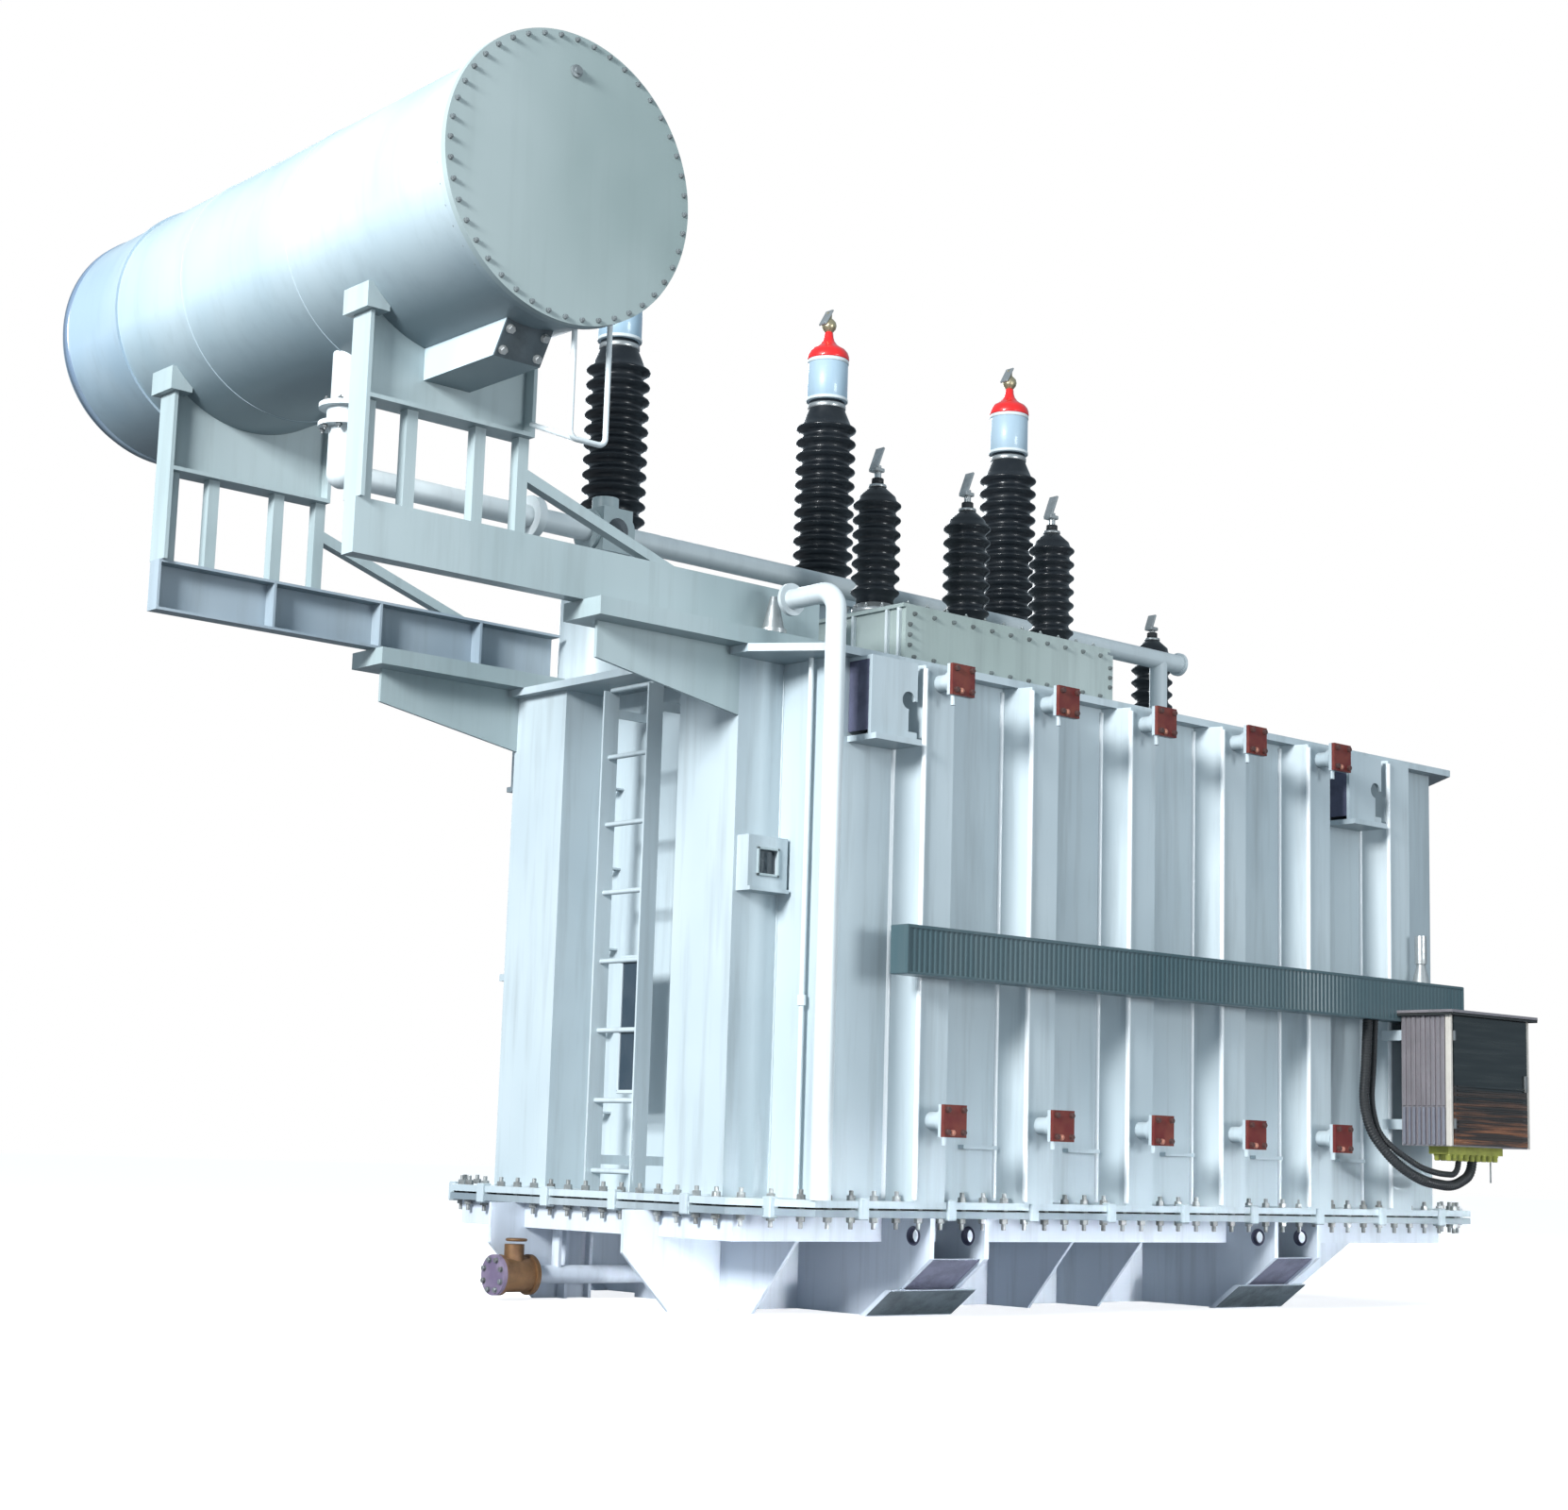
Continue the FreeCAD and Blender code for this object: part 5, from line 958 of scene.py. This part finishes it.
class BuildCabinet(bpy.types.Operator):
    """Pleated side, edge strip, door with its handle and louvres, drip edge, and the glands"""
    bl_idname = "transformer.cabinet"
    bl_label = "Cabinet"

    def execute(self, context):
        low, high = corners("control_cabinet")
        left, right = low[0] + ROOF_OVERHANG, high[0] - ROOF_OVERHANG
        front, back = low[1] + ROOF_OVERHANG, high[1]
        bottom, top = low[2], high[2] - 0.02
        self.side(left, right, front, back, bottom, top)
        self.door(left, right, front, bottom, top)
        self.glands()
        return {"FINISHED"}

    def side(self, left, right, front, back, bottom, top):
        """Both end walls carry upright pleats: blocks of alternate width, deeper below."""
        upper, lower = [], []
        ys = np.arange(front + 0.035, back - 0.012, 0.034)
        split = bottom + (top - bottom) * 0.30
        for x, sign in ((left, -1), (right, 1)):
            for index, y in enumerate(ys):
                inner, outer = sorted((x, x + sign * (0.007 if index % 2 else 0.011)))
                upper.append(((inner, y, split), (outer, y + 0.024, top - 0.012)))
                inner, outer = sorted((x, x + sign * (0.012 if index % 2 else 0.018)))
                lower.append(((inner, y, bottom + 0.006), (outer, y + 0.017, split - 0.006)))
        add_blocks("cabinet_pleats", upper, "cabinet_steel", 0.003)
        add_blocks("cabinet_fins", lower, "cabinet_fin", 0.003)
        strips = [((left - 0.010, front - 0.006, bottom), (left + 0.016, front + 0.032, top)),
                  ((right - 0.016, front - 0.006, bottom), (right + 0.010, front + 0.032, top))]
        add_blocks("cabinet_edges", strips, "cream_edge", 0.005)

    def door(self, left, right, front, bottom, top):
        """A flat door with louvre bars over its lower part, a handle, two hinges and a drip edge."""
        door = [((left + 0.022, front - 0.010, bottom + 0.008), (right - 0.022, front + 0.004, top - 0.010))]
        add_blocks("cabinet_door", door, "door_steel", 0.003)
        bars = []
        for z in np.arange(bottom + 0.03, bottom + (top - bottom) * 0.46, 0.026):
            bars.append(((left + 0.05, front - 0.016, z), (right - 0.05, front - 0.009, z + 0.012)))
        add_blocks("cabinet_louvres", bars, "door_steel", 0.003)
        fittings = [((right - 0.060, front - 0.026, (bottom + top) / 2 - 0.05),
                     (right - 0.040, front - 0.009, (bottom + top) / 2 + 0.05))]
        for z in (bottom + 0.10, top - 0.16):
            fittings.append(((left + 0.016, front - 0.018, z), (left + 0.032, front - 0.004, z + 0.06)))
        add_blocks("cabinet_fittings", fittings, "dark_bolt", 0.003)
        roof_low, roof_high = corners("control_cabinet")
        drip = [((roof_low[0], roof_low[1], top - 0.012), (roof_high[0], roof_low[1] + 0.006, top + 0.006)),
                ((roof_low[0], roof_low[1], top - 0.012), (roof_low[0] + 0.006, roof_high[1], top + 0.006)),
                ((roof_high[0] - 0.006, roof_low[1], top - 0.012), (roof_high[0], roof_high[1], top + 0.006))]
        add_blocks("cabinet_drip_edge", drip, "roof_steel", 0.002)

    def glands(self):
        """Two rows of round cable glands, each a nut with a collar, and one hanging earth rod."""
        low, high = corners("gland_plate")
        nut = turned([(0, 0), (0.021, 0), (0.021, 0.020), (0.017, 0.024), (0.017, 0.044), (0.013, 0.050),
                      (0, 0.050)], count=12)
        xs = np.linspace(low[0] + 0.04, high[0] - 0.04, 9)
        places = [(x, y, low[2] + 0.012) for x in xs for y in (low[1] + 0.03, high[1] - 0.03)]
        add_piece("glands", *stamped(nut, places, DOWN), "gland_yellow")
        rod = line(high[0] - 0.10, low[1] + 0.02, np.array([low[2], low[2] - 0.16]))
        add_piece("earth_rod", *swept(rod, 0.005, 8), "zinc")


ROUTE_STEP = 0.004


def rounded_route(points):
    """A route of straight runs with tangent arcs at its corners.

    Each arc takes 0.45 of the shorter neighbouring run on both sides of its corner. A point on it
    is its centre plus the radius times the turned direction, and the route is then read off at an
    even step along its length.
    """
    points = np.asarray(points, float)
    path = [points[0]]
    for before, corner, after in zip(points, points[1:], points[2:]):
        into, out = corner - before, after - corner
        trim = 0.45 * min(np.linalg.norm(into), np.linalg.norm(out))
        into, out = into / np.linalg.norm(into), out / np.linalg.norm(out)
        bend = math.acos(np.clip(into @ out, -1, 1))
        radius = trim / math.tan(bend / 2)
        inward = (out - into) / np.linalg.norm(out - into)
        centre = corner + inward * radius / math.cos(bend / 2)
        across = -inward
        ahead = (into + out) / np.linalg.norm(into + out)
        turn = np.linspace(-bend / 2, bend / 2, 24)[:, None]
        path += list(centre + radius * (across * np.cos(turn) + ahead * np.sin(turn)))
    path.append(points[-1])
    path = np.asarray(path)
    run = np.concatenate([[0], np.cumsum(np.linalg.norm(np.diff(path, axis=0), axis=1))])
    even = np.arange(0, run[-1], ROUTE_STEP)
    return np.stack([np.interp(even, run, path[:, axis]) for axis in range(3)], -1)


class BuildConduits(bpy.types.Operator):
    """The two corrugated cabinet conduits, whose radius rises and falls in a sine along the route"""
    bl_idname = "transformer.conduits"
    bl_label = "Conduits"

    def execute(self, context):
        tray_low, tray_high = corners("cable_tray")
        cabinet_low = corners("control_cabinet")[0]
        gland_low, gland_high = corners("gland_plate")
        left = cabinet_low[0] + ROOF_OVERHANG
        tray_y = (tray_low[1] + tray_high[1]) / 2
        gland_y = (gland_low[1] + gland_high[1]) / 2
        gland_z = gland_low[2]
        sag = gland_z - 0.19
        parts = []
        for radius, from_left, spread in ((0.030, 0.47, 0.0), (0.018, 0.33, 0.075)):
            start = left + from_left
            route = rounded_route([
                (start, gland_y, gland_z), (start - 0.03, gland_y, gland_z - 0.12),
                (start - 0.21, gland_y, sag + spread), (left - 0.02, gland_y + 0.025, sag + 0.03 + spread),
                (left - 0.19, gland_y + 0.09, sag + 0.13 + spread),
                (left - 0.31 + spread, tray_y - 0.06, sag + 0.30),
                (left - 0.31 + spread, tray_y - 0.01, sag + 0.48),
                (left - 0.27 + spread, tray_y, sag + 0.68), (left - 0.25 + spread, tray_y, tray_low[2])])
            run = np.arange(len(route)) * ROUTE_STEP
            ribbed = radius * (0.94 + 0.08 * np.sin(2 * np.pi * run / (4 * ROUTE_STEP)))
            parts.append(swept(route, ribbed, 14))
        piece = add_piece("ribbed_conduits", *gathered(parts), "rubber", "conduit_rubber")
        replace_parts(piece, "cabinet_conduits")
        return {"FINISHED"}


class BuildFittings(bpy.types.Operator):
    """Gauge and relay windows, climbing guard, tank stubs, and painted shade as hook linings, lug rims and dark
    undersides
    """
    bl_idname = "transformer.fittings"
    bl_label = "Small fittings"

    def execute(self, context):
        low, high = corners("gauge_box")
        front = low[1] + 0.018
        width, side = high[0] - low[0], 0.26
        base = high[2] - side
        glass = [((low[0] + width * 0.27, front + 0.020, base + side * 0.27),
                  (high[0] - width * 0.27, front + 0.026, base + side * 0.73))]
        add_blocks("gauge_glass", glass, "window_glass", 0.001)
        frames = []
        near, far, margin = front - 0.008, front + 0.004, 0.22
        for a, b in ((margin, 0.27), (0.73, 1 - margin)):
            frames.append(((low[0] + width * margin, near, base + side * a),
                           (high[0] - width * margin, far, base + side * b)))
            frames.append(((low[0] + width * a, near, base + side * margin),
                           (low[0] + width * b, far, base + side * (1 - margin))))
        add_blocks("gauge_frame", frames, "frame_enamel", 0.002)
        relay_low, relay_high = corners("gas_relay")
        middle = (relay_low + relay_high) / 2
        z = relay_low[2] + RELAY_AXIS
        pane = [(0, 0), (0.062, 0), (0.062, 0.006), (0, 0.007)]
        add_piece("relay_glass", *turned(pane, (middle[0], relay_low[1], z), "Y", -1, 32), "window_glass")
        self.ladder()
        self.hooks()
        self.lug_rims()
        self.sloped_skins()
        return {"FINISHED"}

    def ladder(self):
        """A narrow dark climbing guard between the rails, and short stubs on the tank behind them."""
        x = corners("ladder")[0][0]
        near, far, foot, top = -0.205, -0.040, 1.08, 1.80
        guard = [((x + 0.060, near + 0.020, foot + 0.02), (x + 0.075, far - 0.015, top - 0.02))]
        add_blocks("climbing_guard", guard, "guard_dark", 0.002)
        back, front = x + 0.052, x + 0.080
        frame_bars = [((back, near, foot + 0.01), (front, near + 0.018, top - 0.01)),
                      ((back, far - 0.015, foot + 0.01), (front, far, top - 0.01)),
                      ((back, near, foot), (front, far, foot + 0.02)),
                      ((back, near, top - 0.02), (front, far, top))]
        add_blocks("guard_frame", frame_bars, "tank_enamel", 0.003)
        wall = corners("tank_shell")[0][0]
        stubs = [((wall - 0.10, y, z), (wall + 0.002, y + 0.05, z + 0.014))
                 for z in np.arange(5) * 0.44 + 0.98 for y in (-0.42, 0.34)]
        add_blocks("tank_stubs", stubs, "tank_enamel", 0.003)

    def hooks(self):
        """Dark linings of painted shade behind the open ends of the lifting hooks."""
        low, high = corners("lifting_hooks")
        second, near, far = 1.48, 1.372, 1.522
        foot, top = high[2] - 0.38, high[2] - 0.02
        linings = [((x + inset, start, foot), (x + inset + 0.005, start + far - near, top))
                   for x in (low[0], second) for start in (-far, near) for inset in (0.186, 0.002)]
        add_blocks("hook_linings", linings, "hook_shade", 0.001)

    def sloped_skins(self):
        """Dark sheets of painted shade under the sloping plates and foot plates between the hauling lugs."""
        web_top, web_foot = (-1.4620, 0.2940), (-1.0810, 0.0080)
        plate_top, plate_foot = (-1.3187, 0.1340), (-1.1510, 0.0080)
        webs, feet = [], []
        for middle in LUG_MIDDLES:
            for side in (1, -1):
                webs.append(self.skin(middle, 0.180, side, web_top, web_foot))
                feet.append(self.skin(middle, 0.301, side, plate_top, plate_foot))
        # painted shade on the lug webs and the foot plates
        add_piece("lug_web_faces", *gathered(webs), "lug_shade", smooth=False)
        add_piece("foot_faces", *gathered(feet), "plate_dark", smooth=False)

    def skin(self, middle, half, side, top, bottom):
        """A thin flat sheet on the line from top to bottom in the Y, Z plane, half either way in X."""
        out = np.array([0, -0.6 * side, -0.8]) * SHEET
        line = np.array([(0, side * top[0], top[1]), (0, side * bottom[0], bottom[1])])
        left, right = line + (middle - half, 0, 0), line + (middle + half, 0, 0)
        sheet = np.array([left[0], left[1], right[1], right[0]])
        faces = [(3, 2, 1, 0), (4, 5, 6, 7), (0, 1, 5, 4), (1, 2, 6, 5), (2, 3, 7, 6), (3, 0, 4, 7)]
        if side < 0:
            faces = [face[::-1] for face in faces]
        return np.concatenate([sheet, sheet + out]), faces

    def lug_rims(self):
        """Dark rims of painted shade inside the holes of the hauling lugs."""
        turn = np.linspace(0, 2 * np.pi, 33)
        across, up = 0.042 * np.cos(turn), 0.042 * np.sin(turn)
        rims = []
        for x in (middle + side for middle in LUG_MIDDLES for side in (-LUG_HALF_GAP, LUG_HALF_GAP)):
            for y in (-HAUL_HOLE[0], HAUL_HOLE[0]):
                for shift in (-0.012, 0.0, 0.012):
                    path = line(x + shift, y + across, HAUL_HOLE[1] + up)
                    rims.append(swept(path, 0.008, 8, closed_ends=False))
        add_piece("lug_hole_rims", *gathered(rims), "hook_shade")


class BuildStage(bpy.types.Operator):
    """Pale floor, soft studio light and the camera"""
    bl_idname = "transformer.build_stage"
    bl_label = "Build stage"

    def execute(self, context):
        scene = context.scene
        mesh = bpy.data.meshes.new("floor")
        reach = 90.0
        square = [(-reach, -reach, 0), (reach, -reach, 0), (reach, reach, 0), (-reach, reach, 0)]
        mesh.from_pydata(square, [], [(0, 1, 2, 3)])
        floor = bpy.data.objects.new("floor", mesh)
        scene.collection.objects.link(floor)
        mesh.materials.append(self.pale_floor())
        self.world(scene)
        self.lamp(scene, "key", (-19.2, -5.2, 8.5), (-2, 0, 2.6), 4.0, 5200, (0.96, 0.985, 1.0))
        self.lamp(scene, "front", (1, -19, 3.2), (0.5, 0, 1.6), 5.0, 1150, (0.94, 0.98, 1.0))
        self.lamp(scene, "strip", (0.5, -12.5, 0.3), (0.5, 0, 0.3), 9.0, 20, (0.95, 0.97, 1.0), 0.5)
        self.lamp(scene, "rim", (6, 15, 10), (0, 0, 2.5), 8.0, 1500, (0.93, 0.97, 1.0))
        scene.view_settings.view_transform = "Standard"
        self.camera(scene)
        return {"FINISHED"}

    def pale_floor(self):
        """A matt floor that looks pale and gives back only part of that light to the part above it.

        The light it gives back is brighter within 2.5 m of the origin and falls off to 4.5 m.
        """
        pale_share, bounce = 0.45, 0.22
        pale, tree, shader = new_material(
            "pale_floor", Roughness=0.95, Specular_IOR_Level=0.1, Emission_Strength=1.0)
        ray = tree.nodes.new("ShaderNodeLightPath")
        seen = ray.outputs["Is Camera Ray"]
        place = tree.nodes.new("ShaderNodeTexCoord")
        reach = tree.nodes.new("ShaderNodeVectorMath")
        reach.operation = "LENGTH"
        feed(tree, place.outputs["Object"], reach.inputs[0])
        under = ranged(tree, reach.outputs["Value"], 2.5, 4.5, 0.0, 1.0)
        given_back = mixed(tree, under, (0.80, 0.80, 0.84, 1), (bounce, bounce, bounce * 1.04, 1))
        shade = mixed(tree, seen, given_back, (pale_share, pale_share, pale_share, 1))
        feed(tree, shade, shader.inputs["Base Color"])
        glow = 1.07 - pale_share * 0.55
        shine = mixed(tree, seen, (0, 0, 0, 1), (glow * 0.97, glow * 0.98, glow, 1))
        feed(tree, shine, shader.inputs["Emission Color"])
        return pale

    def world(self, scene):
        """A near-white studio that lights the part softly and a little cooler from all round."""
        world = bpy.data.worlds.new("studio")
        world.use_nodes = True
        tree = world.node_tree
        ray = tree.nodes.new("ShaderNodeLightPath")
        shade = mixed(tree, ray.outputs["Is Camera Ray"], (0.38, 0.465, 0.53, 1), (1, 1, 1, 1))
        feed(tree, shade, tree.nodes["Background"].inputs["Color"])
        scene.world = world

    def lamp(self, scene, name, place, target, size, power, colour, strip=0.0):
        """One soft lamp that looks at a point: square, or a level strip that lights a narrow band."""
        data = bpy.data.lights.new(name, "AREA")
        data.size = size
        if strip:
            data.shape = "RECTANGLE"
            data.size_y = strip
            data.spread = math.radians(8)
        data.energy = power
        data.color = colour
        lamp = bpy.data.objects.new(name, data)
        lamp.location = place
        lamp.rotation_euler = (Vector(target) - Vector(place)).to_track_quat("-Z", "Y").to_euler()
        scene.collection.objects.link(lamp)

    def camera(self, scene):
        """A low camera off the ladder end's front corner, looking slightly up."""
        azimuth, elevation, roll = np.radians([-41.147, -8.926, 1.748])
        level = math.cos(elevation)
        back = Vector((math.sin(azimuth) * level, -math.cos(azimuth) * level, math.sin(elevation)))
        right = (-back).cross(Vector((0, 0, 1))).normalized()
        up = right.cross(-back)
        turned_right = right * math.cos(roll) + up * math.sin(roll)
        turned_up = up * math.cos(roll) - right * math.sin(roll)
        data = bpy.data.cameras.new("camera")
        data.sensor_width = 36.0
        data.lens = 58.893
        data.clip_end = 400
        camera = bpy.data.objects.new("camera", data)
        turn = Matrix((turned_right, turned_up, back)).transposed().to_4x4()
        camera.matrix_world = Matrix.Translation((-11.0715, -10.7506, 0.7742)) @ turn
        scene.collection.objects.link(camera)
        scene.camera = camera


OPERATORS = [PaintNodes, BuildHighColumns, BuildHighHeads, BuildLowBushings, BuildJointBolts,
             BuildDrumDetails, BuildPlateBolts, BuildWelds, BuildTray, BuildCabinet, BuildConduits,
             BuildFittings, BuildStage]


class TransformerPanel(bpy.types.Panel):
    """Lists the steps that dress the transformer"""
    bl_label = "Transformer"
    bl_idname = "VIEW3D_PT_transformer"
    bl_space_type = "VIEW_3D"
    bl_region_type = "UI"
    bl_category = "Transformer"

    def draw(self, context):
        for operator in OPERATORS:
            self.layout.operator(operator.bl_idname)


CLASSES = [TransformerSizes, TransformerColours, *OPERATORS, TransformerPanel]


def register():
    """Register the classes and hang the settings on the scene."""
    for item in CLASSES:
        bpy.utils.register_class(item)
    bpy.types.Scene.transformer_sizes = bpy.props.PointerProperty(type=TransformerSizes)
    bpy.types.Scene.transformer_colours = bpy.props.PointerProperty(type=TransformerColours)


def unregister():
    """Take the settings and classes away again."""
    del bpy.types.Scene.transformer_sizes
    del bpy.types.Scene.transformer_colours
    for item in reversed(CLASSES):
        bpy.utils.unregister_class(item)


def main():
    """Run every operator in order."""
    register()
    for operator in OPERATORS:
        group, name = operator.bl_idname.split(".")
        getattr(getattr(bpy.ops, group), name)()


if __name__ == "__main__":
    main()
